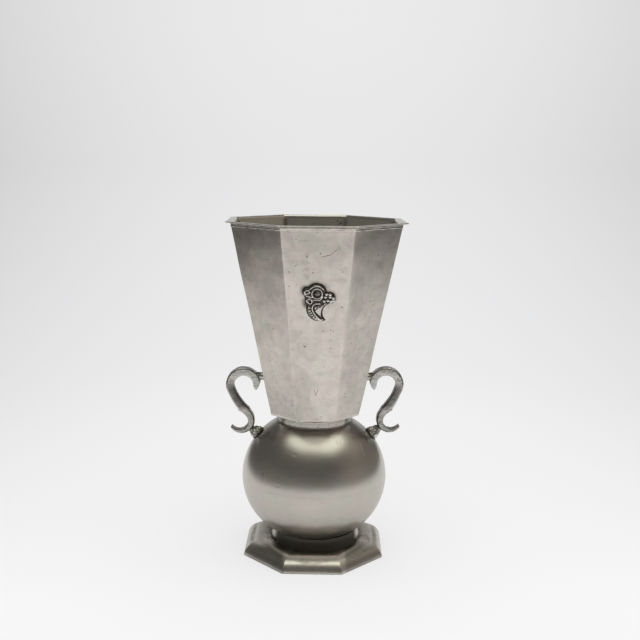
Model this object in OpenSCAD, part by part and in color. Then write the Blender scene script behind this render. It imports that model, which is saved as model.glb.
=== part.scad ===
// Pewter vase: an eight-sided flaring cup on a flattened ball, a flaring ring and an
// eight-sided plinth, with an S-scroll handle on each side and a cast horn of plenty in front.
// The origin is the centre of the underside. Z is up, the front facet faces -Y, the handles
// stand on the X axis.

/* [Cup] */
// Height of the whole vase from the table to the top of the lip
vase_h = 220; // [190:0.5:250]
// Width of the cup over its flats, just under the lip
cup_top_w = 105.8; // [92:0.1:120]
// Width of the cup over its flats at its flat underside
cup_bottom_w = 56.7; // [50:0.1:64]
// Thickness of the cup's wall
cup_wall_t = 1.6; // [1.2:0.1:2.4]
// Thickness of the cup's floor plate
cup_floor_t = 1.4; // [1:0.1:2.4]

/* [Lip] */
// How far the lip reaches out beyond the wall
lip_out = 3.65; // [3:0.05:5]
// Height of the strip from its joint with the wall to its top
lip_h = 2.5; // [2:0.1:3]
// Thickness of the lip at its edge
lip_t = 0.9; // [0.7:0.05:1.3]

/* [Collar] */
// Outer diameter of the collar
collar_w = 48; // [42:0.5:54]
// Wall of the collar
collar_t = 1.8; // [1.4:0.1:2.4]
// Height of the collar that shows between ball and cup
collar_h = 6.1; // [4:0.1:9]

/* [Ball] */
// Radius of the arc that the ball's side is turned to
ball_r = 41.1; // [36:0.1:46]
// How far the centre of that arc lies out from the ball's axis
ball_spread = 6.7; // [4:0.1:10]
// Thickness of the ball's shell
ball_t = 1.8; // [1.4:0.1:2.6]
// Clearance between the ball's lowest point and the plinth
ball_gap = 1.2; // [0.6:0.1:3]

/* [Ring] */
// Diameter of the ring where it stands on the plinth
ring_foot_w = 60; // [54:0.5:64]
// Diameter of the ring where it meets the ball
ring_top_w = 55.2; // [48:0.1:59]
// Wall of the ring
ring_t = 2; // [1.5:0.1:3]
// Width of the solder bead on the plinth
bead_w = 1.9; // [1:0.1:2.4]
// Height of the solder bead up the ring
bead_h = 1.5; // [0.8:0.1:2.2]

/* [Plinth] */
// Width of the plinth over its flats
plinth_w = 91.2; // [84:0.1:100]
// Height of the plinth
plinth_h = 9.2; // [7.5:0.1:12]
// Height of the upright edge under the rounded shoulder
plinth_land = 0.4; // [0.2:0.1:1.5]
// Thickness of the plinth's shell
plinth_t = 2.2; // [1.6:0.1:3]
// Depth of the shallow dish that the ring stands in
dish_depth = 0.6; // [0.3:0.1:0.9]
// Diameter of the vent hole under the ball
vent_w = 4; // [2:0.5:8]

/* [Handles] */
// Height of the stub's axis above the underside of the cup
stub_rise = 23.1; // [18:0.1:30]
// Length of the stub between cup and scroll
stub_l = 3.8; // [2.5:0.1:6]
// Diameter of the stub
stub_w = 5.1; // [4:0.1:6]
// Width of the solder flare at the stub's root
stub_flare_w = 7; // [6.5:0.1:9]
// Length of that flare along the stub
stub_flare_l = 1.4; // [0.8:0.1:2]
// Outer radius of the upper scroll
arch_r = 11.5; // [10:0.1:13]
// How far the upper scroll's centre lies below the stub's axis
arch_drop = 5.5; // [4:0.1:7]
// Thickness of the upper scroll, seen from the front
bar_t = 5.3; // [4.5:0.1:6]
// Depth of the upper scroll, front to back
bar_d = 6.3; // [5:0.1:8]
// Radius of the outer side of the limb between the scrolls
limb_r = 52.6; // [45:0.1:60]
// Radius of the inner side of that limb
limb_in_r = 33; // [28:0.1:38]
// Length of the spur that hangs inside the upper scroll
spur_l = 3.6; // [2.5:0.1:5]
// How far the lower scroll's centre lies below the upper one's
curl_drop = 24.1; // [21:0.1:27]
// How far the lower scroll's centre lies outside the upper one's
curl_shift = 1.5; // [0:0.1:3]
// Outer radius of the lower scroll
curl_r = 8.6; // [7.5:0.1:9.5]
// Inner radius of the lower scroll
curl_in_r = 5.8; // [5:0.1:6.5]
// Thickness of the lower scroll at its back
curl_t = 4.3; // [3.6:0.1:5]
// Thickness of the lower scroll's tail
tail_t = 2.2; // [1.6:0.1:2.8]
// Depth of the lower scroll, front to back
curl_d = 6.9; // [5.5:0.1:8.5]
// Length of the straight back of the lower scroll
neck_l = 5; // [4:0.1:6]
// Radius of the front of that neck
neck_r = 13.2; // [11:0.1:15]
// Diameter of the foot boss on the ball
boss_w = 9.6; // [8:0.1:11]
// Diameter of the foot boss at the scroll
boss_top_w = 5; // [4:0.1:6]

/* [Ornament] */
// Width of the cast ornament
orn_w = 19.8; // [16:0.1:22]
// Height of the cast ornament along the facet
orn_h = 25; // [20:0.1:28]
// Height of the ornament's middle above the underside of the cup
orn_rise = 79.4; // [60:0.1:95]
// How far the ornament sits to the right of the facet's middle
orn_shift = 1.1; // [0:0.1:2]
// Thickness of the ornament's backing
orn_plate_t = 0.8; // [0.5:0.1:1.2]
// Thickness of its leaves
orn_leaf_t = 1.3; // [1:0.1:1.8]
// Thickness of the horn
orn_horn_t = 1.9; // [1.4:0.1:2.6]
// Radius of a grape
grape_r = 1.15; // [0.9:0.05:1.3]
// Radius of a bead on the horn's border
pearl_r = 0.65; // [0.5:0.05:0.8]
// Radius of the round fruit
fruit_r = 2.3; // [1.8:0.1:2.8]

/* [Hidden] */
$fn = 96;

// How far cuts run past what they cut
overrun = 1;
// Flats that make up the flare of the lip
flare_steps = 6;

// Heights, from the table up
plinth_round = plinth_h - plinth_land;
dish_z = plinth_h - dish_depth;
ball_z = dish_z + ball_gap + ball_r;
collar_seat_z = ball_z + sqrt(pow(ball_r, 2) - pow(collar_w/2 - ball_spread, 2));
collar_low_z = ball_z + sqrt(pow(ball_r - ball_t, 2) - pow(collar_w/2 - ball_spread, 2));
cup_z = collar_seat_z + collar_h;
wall_z = cup_z + cup_floor_t;
lip_z = vase_h - lip_h;
ball_w = 2*(ball_r + ball_spread);

// The cup's side leans out by this much for each unit of height
lean = (cup_top_w - cup_bottom_w)/2/(lip_z - cup_z);
lean_angle = atan(lean);
wall_across = cup_wall_t/cos(lean_angle);
throat_r = collar_w/2 - collar_t;
lip_w = cup_top_w + 2*lip_out;
reach = 2*(vase_h + lip_w);

// Half the cup's width over its flats at a height, outside
function cup_half(z) = cup_bottom_w/2 + lean*(z - cup_z);

// The ring is as wide as ring_top_w where it meets the ball
ring_meet_z = ball_z - sqrt(pow(ball_r, 2) - pow(ring_top_w/2 - ball_spread, 2));
ring_lean = (ring_top_w - ring_foot_w)/2/(ring_meet_z - dish_z);

// The ring's outer radius at a height
function ring_side(z) = ring_foot_w/2 + ring_lean*(z - dish_z);

// Handle places in the XZ plane, on the +X side
stub_z = cup_z + stub_rise;
scroll_x = cup_half(stub_z) + stub_l;
arch_at = [scroll_x + sqrt(pow(arch_r, 2) - pow(arch_drop, 2)), stub_z - arch_drop];
arch_in_r = arch_r - bar_t;
curl_at = arch_at + [curl_shift, -curl_drop];
curl_web = curl_r - curl_in_r;
curl_in_at = curl_at + [curl_t - curl_web, tail_t - curl_web];
// Angles at which the limb leaves the upper scroll, outside and inside
limb_leave = -30;
limb_in_leave = -20;
// Angles at which the neck leaves the lower scroll, back and front
neck_leave = 150;
neck_in_leave = 140;
// Angle at which the neck ends on its front arc, and how far it stands out there
neck_end = 112;
neck_step = 0.9;
// Angle at which the lower scroll's tail is cut
tail_cut = -34;
spur_root = arch_drop/2;
spur_lean = bar_t*0.27;
// How far the limb's end runs into the neck
limb_lap = 0.9;

function at_angle(a, r) = [r*cos(a), r*sin(a)];

limb_top_out = at_angle(limb_leave, arch_r);
limb_top_in = at_angle(limb_in_leave, arch_in_r);
limb_centre = at_angle(limb_leave + 180, limb_r - arch_r);
limb_in_centre = at_angle(limb_in_leave + 180, limb_in_r - arch_in_r);
neck_low_back = curl_at + at_angle(neck_leave, curl_r);
neck_low_front = curl_in_at + at_angle(neck_in_leave, curl_in_r);
neck_centre = neck_low_front + at_angle(neck_in_leave + 180, neck_r);
neck_top_back = neck_low_back + at_angle(neck_leave - 90, neck_l);
neck_top_front = neck_centre + at_angle(neck_end, neck_r + neck_step);

// The foot boss stands on the line between the centres of ball arc and lower scroll
boss_from = [ball_spread, ball_z];
boss_line = curl_at - boss_from;
boss_angle = atan2(boss_line[1], boss_line[0]);
boss_l = norm(boss_line) - ball_r - curl_r;
boss_drop = (boss_w - boss_top_w)/2;
boss_round = (pow(boss_drop, 2) + pow(boss_l, 2))/(2*boss_drop);
// How far the boss runs into what it meets before it is cut to it
boss_root = boss_w/8;

// Places on the ornament are shares of its width and height from its middle, and radii are
// shares of its width
grape_shares = [
    [0.221, 0.222], [0.334, 0.208], [0.209, 0.148], [0.334, 0.14], [0.425, 0.126],
    [0.16, 0.06], [0.27, 0.067], [0.39, 0.055], [0.212, -0.02], [0.335, -0.015]
];
bunch_share = [0.3, 0.105, 0.19];
fruit_share = [-0.045, 0.221];
calyx_share = [-0.035, 0.221, 0.18];
calyx_in_r_share = 0.135;
hood_share = [-0.075, 0.244, 0.29];
hood_in_share = [-0.065, 0.2, 0.215];
curl_shares = [[-0.375, 0.26, 0.105, 0.055], [-0.225, 0.17, 0.09, 0.045]];
diamond_share = [-0.257, 0.03, 0.13];
diamond_hole_r_share = 0.055;
horn_share = [0.254, -0.043, 0.48];
horn_end_share = [0.017, -0.247, 0.315];
horn_cut_share = [0.373, -0.284, 0.296];
mouth_share = [-0.04, -0.1, 0.1];
border_share = [0.024, -0.169, 0.396];
border_top_share = -0.03;
pearl_line_share = 0.57;
pearl_count = 8;
pearl_angle_from = 190;
pearl_angle_to = 252;
tail_share = [0.18, -0.43, 0.05];
backing_shares = [
    [-0.075, 0.23, 0.31], [-0.33, 0.2, 0.17], [0.3, 0.105, 0.215], [-0.16, 0, 0.22],
    [0.06, 0.03, 0.2]
];

pewter = [0.63, 0.62, 0.59];
pewter_dark = [0.5, 0.49, 0.46];
pewter_light = [0.7, 0.69, 0.66];

// An eight-sided solid whose flats follow the outline of its children, drawn in x and z
module eight_sided() {
    intersection_for(turn = [0:45:135]) {
        rotate([0, 0, turn])
            rotate([90, 0, 0])
                linear_extrude(height = reach, center = true)
                    children();
    }
}

// A flat-sided outline, narrow or wide end down, with its half widths at two heights
module taper(low_half, low_z, high_half, high_z) {
    polygon([
        [-low_half, low_z], [low_half, low_z],
        [high_half, high_z], [-high_half, high_z]
    ]);
}

// The outside of the cup, with no lip, a little longer than the cup at both ends
module cup_outside() {
    eight_sided() {
        taper(cup_half(cup_z - overrun), cup_z - overrun, cup_half(vase_h), vase_h);
    }
}

module cup_wall() {
    color(pewter)
        difference() {
            eight_sided() {
                taper(cup_half(wall_z), wall_z, cup_half(lip_z), lip_z);
            }
            eight_sided() {
                taper(
                    cup_half(wall_z - overrun) - wall_across, wall_z - overrun,
                    cup_half(lip_z + overrun) - wall_across, lip_z + overrun
                );
            }
        }
}

// Points of a quarter arc that turns from upright to level, away from the axis
function flare_points(x, z, r) = [
    for (i = [0:flare_steps]) [x, z] + r*[1 - cos(90*i/flare_steps), sin(90*i/flare_steps)]
];

// An outline that is the same on both sides of the axis, from the points of its right side
module both_sides(right) {
    polygon(concat(right, [
        for (i = [len(right) - 1:-1:0]) [-right[i][0], right[i][1]]
    ]));
}

// The lip's outer outline: a hollow flare under a thin flat edge
module lip_outside() {
    both_sides(concat(
        flare_points(cup_half(lip_z), lip_z, lip_h - lip_t),
        [[lip_w/2, vase_h - lip_t], [lip_w/2, vase_h]]
    ));
}

// The lip's inner outline: the wall's inside, rounding over to the flat top
module lip_inside() {
    half = cup_half(lip_z) - wall_across;
    both_sides(concat(
        [[half, lip_z - overrun]],
        flare_points(half, lip_z, lip_h),
        [[half + lip_h, vase_h + overrun]]
    ));
}

module cup_lip() {
    color(pewter_light)
        difference() {
            eight_sided() {
                lip_outside();
            }
            eight_sided() {
                lip_inside();
            }
        }
}

module cup_floor() {
    color(pewter_dark)
        difference() {
            eight_sided() {
                taper(cup_half(cup_z), cup_z, cup_half(wall_z), wall_z);
            }
            translate([0, 0, cup_z - overrun])
                cylinder(r = throat_r, h = cup_floor_t + 2*overrun);
        }
}

module collar() {
    color(pewter_dark)
        rotate_extrude()
            translate([throat_r, collar_low_z])
                square([collar_t, cup_z - collar_low_z]);
}

// The ball's outline right of its axis, with the arc at a given radius
module ball_outline(r) {
    translate([0, ball_z - r])
        square([ball_spread, 2*r]);
    intersection() {
        translate([ball_spread, ball_z])
            circle(r = r);
        translate([0, ball_z - ball_r - overrun])
            square([ball_w, 2*(ball_r + overrun)]);
    }
}

module ball_section() {
    difference() {
        ball_outline(ball_r);
        ball_outline(ball_r - ball_t);
    }
}

module ball_upper() {
    color(pewter)
        rotate_extrude()
            intersection() {
                ball_section();
                translate([collar_w/2, ball_z])
                    square([ball_w, ball_r + overrun]);
            }
}

module ball_lower() {
    color(pewter)
        rotate_extrude()
            intersection() {
                ball_section();
                translate([0, ball_z - ball_r - overrun])
                    square([ball_w, ball_r + overrun]);
            }
}

// The ring runs a little into the ball before it is cut to it
module foot_ring() {
    top_z = ring_meet_z + overrun;
    color(pewter_dark)
        rotate_extrude()
            difference() {
                polygon([
                    [ring_side(dish_z) - ring_t, dish_z], [ring_side(dish_z), dish_z],
                    [ring_side(top_z), top_z], [ring_side(top_z) - ring_t, top_z]
                ]);
                ball_outline(ball_r);
            }
}

module foot_solder() {
    top_z = dish_z + bead_h;
    color(pewter_dark)
        rotate_extrude()
            polygon([
                [ring_side(dish_z), dish_z], [ring_side(dish_z) + bead_w, dish_z],
                [ring_side(top_z), top_z]
            ]);
}

// The plinth's outline, set in from its outside by a given wall
module plinth_outline(wall) {
    round_r = plinth_round - wall;
    middle = plinth_w/2 - plinth_round;
    translate([-middle, 0])
        square([2*middle, plinth_land + round_r]);
    for (side = [-1, 1]) {
        intersection() {
            translate([side*middle, plinth_land])
                circle(r = round_r);
            translate([-reach/2, plinth_land])
                square([reach, plinth_h]);
        }
    }
    translate([-middle - round_r, 0])
        square([2*(middle + round_r), plinth_land]);
}

module base_shell() {
    middle = plinth_w/2 - plinth_round;
    dish_r = ring_foot_w/2 + bead_w;
    color(pewter)
        difference() {
            eight_sided() {
                plinth_outline(0);
            }
            eight_sided() {
                translate([0, -overrun])
                    plinth_outline(plinth_t);
                plinth_outline(plinth_t);
            }
            // The dish runs up to the shoulder in a flat cone
            translate([0, 0, dish_z])
                cylinder(r1 = dish_r, r2 = max(middle, dish_r + dish_depth), h = dish_depth);
            translate([0, 0, -overrun])
                cylinder(d = vent_w, h = plinth_h + 2*overrun);
        }
}

// Outline of the upper scroll and its limb, seen from the front, in x and z
module upper_scroll_outline() {
    spread = 2*arch_r;
    spur_side = sqrt(pow(arch_r, 2) - pow(spur_root, 2));
    translate(arch_at) {
        intersection() {
            difference() {
                circle(r = arch_r);
                circle(r = arch_in_r);
            }
            polygon([
                [0, 0], limb_top_in, limb_top_out, limb_top_out*2,
                [spread, 0], [spread, spread], [-spread, spread],
                [-spread, spur_root], [0, spur_root]
            ]);
        }
        difference() {
            polygon([
                [-spur_side, spur_root], [-arch_in_r/2, spur_root],
                [-arch_in_r, 0], [-arch_in_r - spur_lean, -spur_l]
            ]);
            circle(r = arch_in_r);
        }
    }
    // The limb, from the upper scroll to inside the neck
    step_shift = at_angle(neck_leave + 90, limb_lap);
    intersection() {
        translate(arch_at + limb_centre)
            circle(r = limb_r);
        difference() {
            polygon([
                arch_at, arch_at + limb_top_in, arch_at + limb_top_out,
                arch_at + limb_top_out*2, neck_top_front + [arch_r, 0] + step_shift,
                neck_top_front + step_shift, neck_top_back + step_shift,
                neck_top_back - [arch_r, 0] + step_shift
            ]);
            translate(arch_at + limb_in_centre)
                circle(r = limb_in_r);
        }
    }
}

// Outline of the lower scroll and its neck
module lower_scroll_outline() {
    spread = 3*curl_r;
    difference() {
        translate(curl_at)
            circle(r = curl_r);
        translate(curl_in_at)
            circle(r = curl_in_r);
        // The scroll's mouth, from its tail up to the neck
        polygon([
            curl_in_at, curl_in_at + at_angle(tail_cut, spread),
            curl_in_at + [spread, spread], curl_in_at + [0, spread],
            neck_low_back + (neck_low_back - neck_low_front), neck_low_back, neck_low_front
        ]);
    }
    difference() {
        polygon([neck_low_front, neck_low_back, neck_top_back, neck_top_front]);
        translate(neck_centre)
            circle(r = neck_r);
    }
}

// Stands an outline drawn in x and z up, with a depth along Y
module stand(depth) {
    rotate([90, 0, 0])
        linear_extrude(height = depth, center = true)
            children();
}

module scroll() {
    color(pewter) {
        stand(bar_d)
            upper_scroll_outline();
        stand(curl_d)
            lower_scroll_outline();
    }
}

module stub() {
    root_x = cup_half(stub_z - stub_flare_w) - overrun;
    tip_x = arch_at[0] - arch_in_r;
    flare_x = cup_half(stub_z);
    color(pewter)
        difference() {
            translate([0, 0, stub_z])
                rotate([0, 90, 0])
                    rotate_extrude()
                        polygon([
                            [0, root_x], [stub_flare_w/2, root_x], [stub_flare_w/2, flare_x],
                            [stub_w/2, flare_x + stub_flare_l], [stub_w/2, tip_x], [0, tip_x]
                        ]);
            stand(2*stub_flare_w)
                taper(cup_half(wall_z), wall_z, cup_half(lip_z), lip_z);
            stand(2*stub_flare_w)
                translate(arch_at)
                    circle(r = arch_r);
        }
}

module boss() {
    color(pewter_dark)
        difference() {
            translate([boss_from[0], 0, boss_from[1]])
                rotate([0, 90 - boss_angle, 0])
                    translate([0, 0, ball_r])
                        rotate_extrude()
                            intersection() {
                                translate([boss_w/2 - boss_round, 0])
                                    circle(r = boss_round);
                                translate([0, -boss_root])
                                    square([boss_w, boss_l + 2*boss_root]);
                            }
            rotate_extrude()
                ball_outline(ball_r);
            stand(reach)
                translate(curl_at)
                    circle(r = curl_r);
        }
}

// Puts a flat-backed relief on the front facet, its middle at the ornament's place
module on_front_facet() {
    z = cup_z + orn_rise;
    translate([orn_shift, -cup_half(z), z])
        rotate([90 + lean_angle, 0, 0])
            children();
}

function orn_place(share) = [share[0]*orn_w, share[1]*orn_h];

// A disc whose place and radius are shares of the ornament
module orn_disc(share) {
    translate(orn_place(share))
        circle(r = share[2]*orn_w);
}

// A ball of a given radius, its centre at a height on the ornament
module orn_ball(share, height, r) {
    translate(concat(orn_place(share), height))
        sphere(r = r);
}

module border_outline() {
    difference() {
        orn_disc(border_share);
        orn_disc(horn_share);
        translate([-orn_w, border_top_share*orn_h])
            square([2*orn_w, orn_h]);
    }
}

// Leaves round the fruit, and the border of the horn's mouth
module leaf_outline() {
    difference() {
        orn_disc(calyx_share);
        translate(orn_place(calyx_share))
            circle(r = calyx_in_r_share*orn_w);
    }
    difference() {
        orn_disc(hood_share);
        orn_disc(hood_in_share);
        translate([-orn_w, hood_in_share[1]*orn_h - orn_h])
            square([2*orn_w, orn_h]);
    }
    for (share = curl_shares) {
        difference() {
            orn_disc(share);
            translate(orn_place(share))
                circle(r = share[3]*orn_w);
        }
    }
    difference() {
        translate(orn_place(diamond_share))
            rotate([0, 0, 45])
                square(diamond_share[2]*orn_w*sqrt(2), center = true);
        translate(orn_place(diamond_share))
            circle(r = diamond_hole_r_share*orn_w);
    }
    orn_disc(bunch_share);
    border_outline();
}

module horn_outline() {
    difference() {
        intersection() {
            orn_disc(horn_share);
            orn_disc(horn_end_share);
        }
        orn_disc(horn_cut_share);
        orn_disc(mouth_share);
    }
}

module ornament() {
    pearl_line = pearl_line_share*orn_w;
    pearl_step_angle = (pearl_angle_to - pearl_angle_from)/(pearl_count - 1);
    color(pewter_dark)
        on_front_facet()
            intersection() {
                translate([-orn_w, -orn_h, 0])
                    cube([2*orn_w, 2*orn_h, orn_w]);
                union() {
                    linear_extrude(height = orn_plate_t) {
                        for (share = backing_shares) {
                            orn_disc(share);
                        }
                        intersection() {
                            orn_disc(horn_share);
                            orn_disc(horn_end_share);
                        }
                        border_outline();
                    }
                    linear_extrude(height = orn_leaf_t)
                        leaf_outline();
                    linear_extrude(height = orn_horn_t)
                        horn_outline();
                    orn_ball(fruit_share, orn_plate_t, fruit_r);
                    orn_ball(tail_share, orn_horn_t, tail_share[2]*orn_w);
                    for (share = grape_shares) {
                        orn_ball(share, orn_leaf_t, grape_r);
                    }
                    for (angle = [pearl_angle_from:pearl_step_angle:pearl_angle_to]) {
                        translate(concat(
                            orn_place(horn_share) + at_angle(angle, pearl_line), orn_leaf_t
                        ))
                            sphere(r = pearl_r);
                    }
                }
            }
}

module scroll_right() {
    scroll();
}

module stub_right() {
    stub();
}

module boss_right() {
    boss();
}

module scroll_left() {
    mirror([1, 0, 0])
        scroll();
}

module stub_left() {
    mirror([1, 0, 0])
        stub();
}

module boss_left() {
    mirror([1, 0, 0])
        boss();
}

cup_lip();
cup_wall();
cup_floor();
collar();
ball_upper();
ball_lower();
foot_ring();
foot_solder();
base_shell();
scroll_right();
stub_right();
boss_right();
scroll_left();
stub_left();
boss_left();
ornament();
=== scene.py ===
import math

import bmesh
import bpy
import numpy as np
from mathutils import Matrix, Vector, noise


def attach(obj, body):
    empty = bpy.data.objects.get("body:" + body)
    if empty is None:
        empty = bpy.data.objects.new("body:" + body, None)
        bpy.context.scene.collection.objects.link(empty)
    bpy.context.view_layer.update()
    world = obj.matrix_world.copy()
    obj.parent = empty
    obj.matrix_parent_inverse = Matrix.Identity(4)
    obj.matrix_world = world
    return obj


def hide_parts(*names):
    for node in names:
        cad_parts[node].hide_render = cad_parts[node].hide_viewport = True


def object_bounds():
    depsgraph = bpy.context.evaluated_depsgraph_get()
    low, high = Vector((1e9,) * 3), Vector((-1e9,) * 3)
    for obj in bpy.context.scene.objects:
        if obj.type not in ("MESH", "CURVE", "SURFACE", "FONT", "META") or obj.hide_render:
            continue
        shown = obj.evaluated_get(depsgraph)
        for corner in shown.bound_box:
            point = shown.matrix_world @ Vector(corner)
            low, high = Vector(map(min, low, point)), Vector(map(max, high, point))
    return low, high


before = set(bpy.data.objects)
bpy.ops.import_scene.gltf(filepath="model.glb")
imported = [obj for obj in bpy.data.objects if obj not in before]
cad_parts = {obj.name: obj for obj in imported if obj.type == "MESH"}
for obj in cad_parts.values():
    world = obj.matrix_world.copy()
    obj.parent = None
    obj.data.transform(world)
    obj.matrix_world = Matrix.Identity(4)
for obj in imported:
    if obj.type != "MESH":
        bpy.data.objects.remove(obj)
cad_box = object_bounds()

MM = 0.001
BODY = "root"

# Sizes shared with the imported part

VASE_H = 220.0
LIP_Z = 217.5
LIP_HALF = 56.55
CUP_Z = 94.28
FLOOR_TOP_Z = 95.68
CUP_LOW_HALF = 28.35
LEAN = 0.19924
WALL_ACROSS = 1.631
THROAT_R = 22.2
COLLAR_R = 24.0
COLLAR_LOW_Z = 86.2
BALL_Z = 50.9
BALL_R = 41.1
BALL_SPREAD = 6.7
BALL_T = 1.8
DISH_Z = 8.6
SIDES = 8
HALF_SIDE = math.pi / SIDES


def cup_half(z):
    return CUP_LOW_HALF + LEAN * (z - CUP_Z)


# Camera

CAMERA_DISTANCE = 568.8
CAMERA_HEIGHT = 256.5
CAMERA_PITCH = 10.11
CAMERA_ROLL = 0.61
CAMERA_PAN = 0.29
VASE_TURN = 0.92
FOCAL_SHARE = 887.6 / 640
SENSOR = 36


def make_camera():
    """The photograph's camera. The vase stays square to the axes, so the camera is turned round it."""
    data = bpy.data.cameras.new("camera")
    data.sensor_width = SENSOR
    data.lens = FOCAL_SHARE * SENSOR
    camera = bpy.data.objects.new("camera", data)
    turn = math.radians(VASE_TURN)
    camera.location = (
        -math.sin(turn) * CAMERA_DISTANCE * MM,
        -math.cos(turn) * CAMERA_DISTANCE * MM,
        CAMERA_HEIGHT * MM,
    )
    heading = Matrix.Rotation(-math.radians(CAMERA_PAN + VASE_TURN), 3, "Z")
    tilt = Matrix.Rotation(math.radians(90 - CAMERA_PITCH), 3, "X")
    roll = Matrix.Rotation(math.radians(CAMERA_ROLL), 3, "Z")
    camera.rotation_euler = (heading @ tilt @ roll).to_euler()
    bpy.context.scene.collection.objects.link(camera)
    bpy.context.scene.camera = camera


# Shader helpers


class Wire:
    """A node's output that adds, subtracts and multiplies like a number, by nodes of its graph."""

    def __init__(self, graph, socket):
        self.graph, self.socket = graph, socket

    def __add__(self, other):
        return self.graph.math("ADD", self, other)

    def __sub__(self, other):
        return self.graph.math("SUBTRACT", self, other)

    def __rsub__(self, other):
        return self.graph.math("SUBTRACT", other, self)

    def __mul__(self, other):
        return self.graph.math("MULTIPLY", self, other)

    def __truediv__(self, other):
        return self.graph.math("DIVIDE", self, other)

    __radd__, __rmul__ = __add__, __mul__


class Graph:
    """The node tree of a material or world, with short calls for the nodes that they share."""

    def __init__(self, owner):
        owner.use_nodes = True
        self.tree = owner.node_tree
        self.tree.nodes.clear()

    def node(self, kind, inputs=None, **settings):
        made = self.tree.nodes.new(kind)
        for key, value in settings.items():
            setattr(made, key, value)
        for key, value in (inputs or {}).items():
            socket = made.inputs[key]
            if isinstance(value, Wire):
                self.tree.links.new(value.socket, socket)
            else:
                socket.default_value = (*value, 1.0) if socket.type == "RGBA" else value
        return made

    def out(self, kind, inputs=None, output=0, **settings):
        """One output of a new node."""
        return Wire(self, self.node(kind, inputs, **settings).outputs[output])

    def math(self, operation, first, second=0.0, clamp=False):
        return self.out("ShaderNodeMath", {0: first, 1: second}, operation=operation, use_clamp=clamp)

    def most(self, first, second):
        return self.math("MAXIMUM", first, second)

    def size(self, value):
        return self.math("ABSOLUTE", value)

    def vector(self, operation, first, second=(0.0, 0.0, 0.0), scale=None):
        inputs = {0: first, 1: second} if scale is None else {0: first, "Scale": scale}
        output = 1 if operation in ("DISTANCE", "DOT_PRODUCT", "LENGTH") else 0
        return self.out("ShaderNodeVectorMath", inputs, output, operation=operation)

    def smooth(self, value, low, high, to_low=0.0, to_high=1.0):
        inputs = {0: value, 1: low, 2: high, 3: to_low, 4: to_high}
        return self.out("ShaderNodeMapRange", inputs, interpolation_type="SMOOTHSTEP")

    def mix(self, factor, first, second, blend="MIX"):
        inputs = {0: factor, 6: first, 7: second}
        return self.out("ShaderNodeMix", inputs, 2, data_type="RGBA", blend_type=blend)

    def mix_shaders(self, factor, first, second):
        return self.out("ShaderNodeMixShader", {0: factor, 1: first, 2: second})

    def xyz(self, vector):
        made = self.node("ShaderNodeSeparateXYZ", {0: vector})
        return [Wire(self, socket) for socket in made.outputs]

    def join(self, x, y, z):
        return self.out("ShaderNodeCombineXYZ", {0: x, 1: y, 2: z})

    def even(self, level, blue=1.0):
        """A grey of a level, with a share of blue."""
        return self.join(level, level, level * blue if blue != 1.0 else level)

    def noise(self, vector, scale, detail=3.0, rough=0.5, distortion=0.0):
        names = ("Vector", "Scale", "Detail", "Roughness", "Distortion")
        inputs = dict(zip(names, (vector, scale, detail, rough, distortion)))
        return self.out("ShaderNodeTexNoise", inputs)

    def place(self, kind="Object"):
        return self.out("ShaderNodeTexCoord", None, kind)

    def ray(self, kind):
        return self.out("ShaderNodeLightPath", None, kind)

    def layer(self, name):
        return self.out("ShaderNodeAttribute", None, "Fac", attribute_name=name)


# Studio: a white sheet under and behind the vase, a light ceiling, and a dim room around

FLOOR_R = 60.0
FLOOR_WHITE = 0.87
ROOM = (0.105, 0.102, 0.095)
LOW_ROOM = (0.165, 0.16, 0.148)
CEILING = (1.54, 1.57, 1.38)
ZENITH = (0.8, 0.78, 0.7)
BACKDROP_LEFT = 0.62
BACKDROP_RIGHT = 0.66
HALO = 0.17
WARM_LOW = 0.08
WARM_RISE = 0.3
WARM_RED = 1.16
WARM_BLUE = 0.82
AMBIENT = 0.72
# Where the white sheet starts and ends to fade into the room, in metres
SHEET_LEFT = (0.24, 0.66)
SHEET_RIGHT = (0.42, 0.70)
SHEET_FRONT = (0.50, 0.72)
SHEET_BACK = (0.7, 2.4)
SHEET_GLOW = 0.6
FLOOR_LIT = 0.77
# What shows behind the vase: its whiteness at the horizon, higher up and at the least, how much
# it rises nearer by and falls to the sides, and the side at which it is palest
HORIZON_WHITE = 0.797
UPPER_WHITE = 0.824
DIMMEST_WHITE = 0.62
NEARER_WHITE = 0.058
NEAREST = 2.0
NO_DROP = 2.1
SIDE_DROP = 1.05
PALEST_SIDE = 0.034
BACKDROP_BLUE = 1.006
SHEET_BLUE = 1.012
# Where the sheet's shading starts in front of the vase, in metres
DEPTH_START = 0.569
SIDE_START = 0.605
SIDE_SLOPE = 0.984
LAMP_WATTS = 6.6
LAMP_SIZE = (1.4, 1.2)
LAMP_PLACE = (0.1, -0.1, 1.5)
LAMP_COLOUR = (1.0, 0.985, 0.96)


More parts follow.
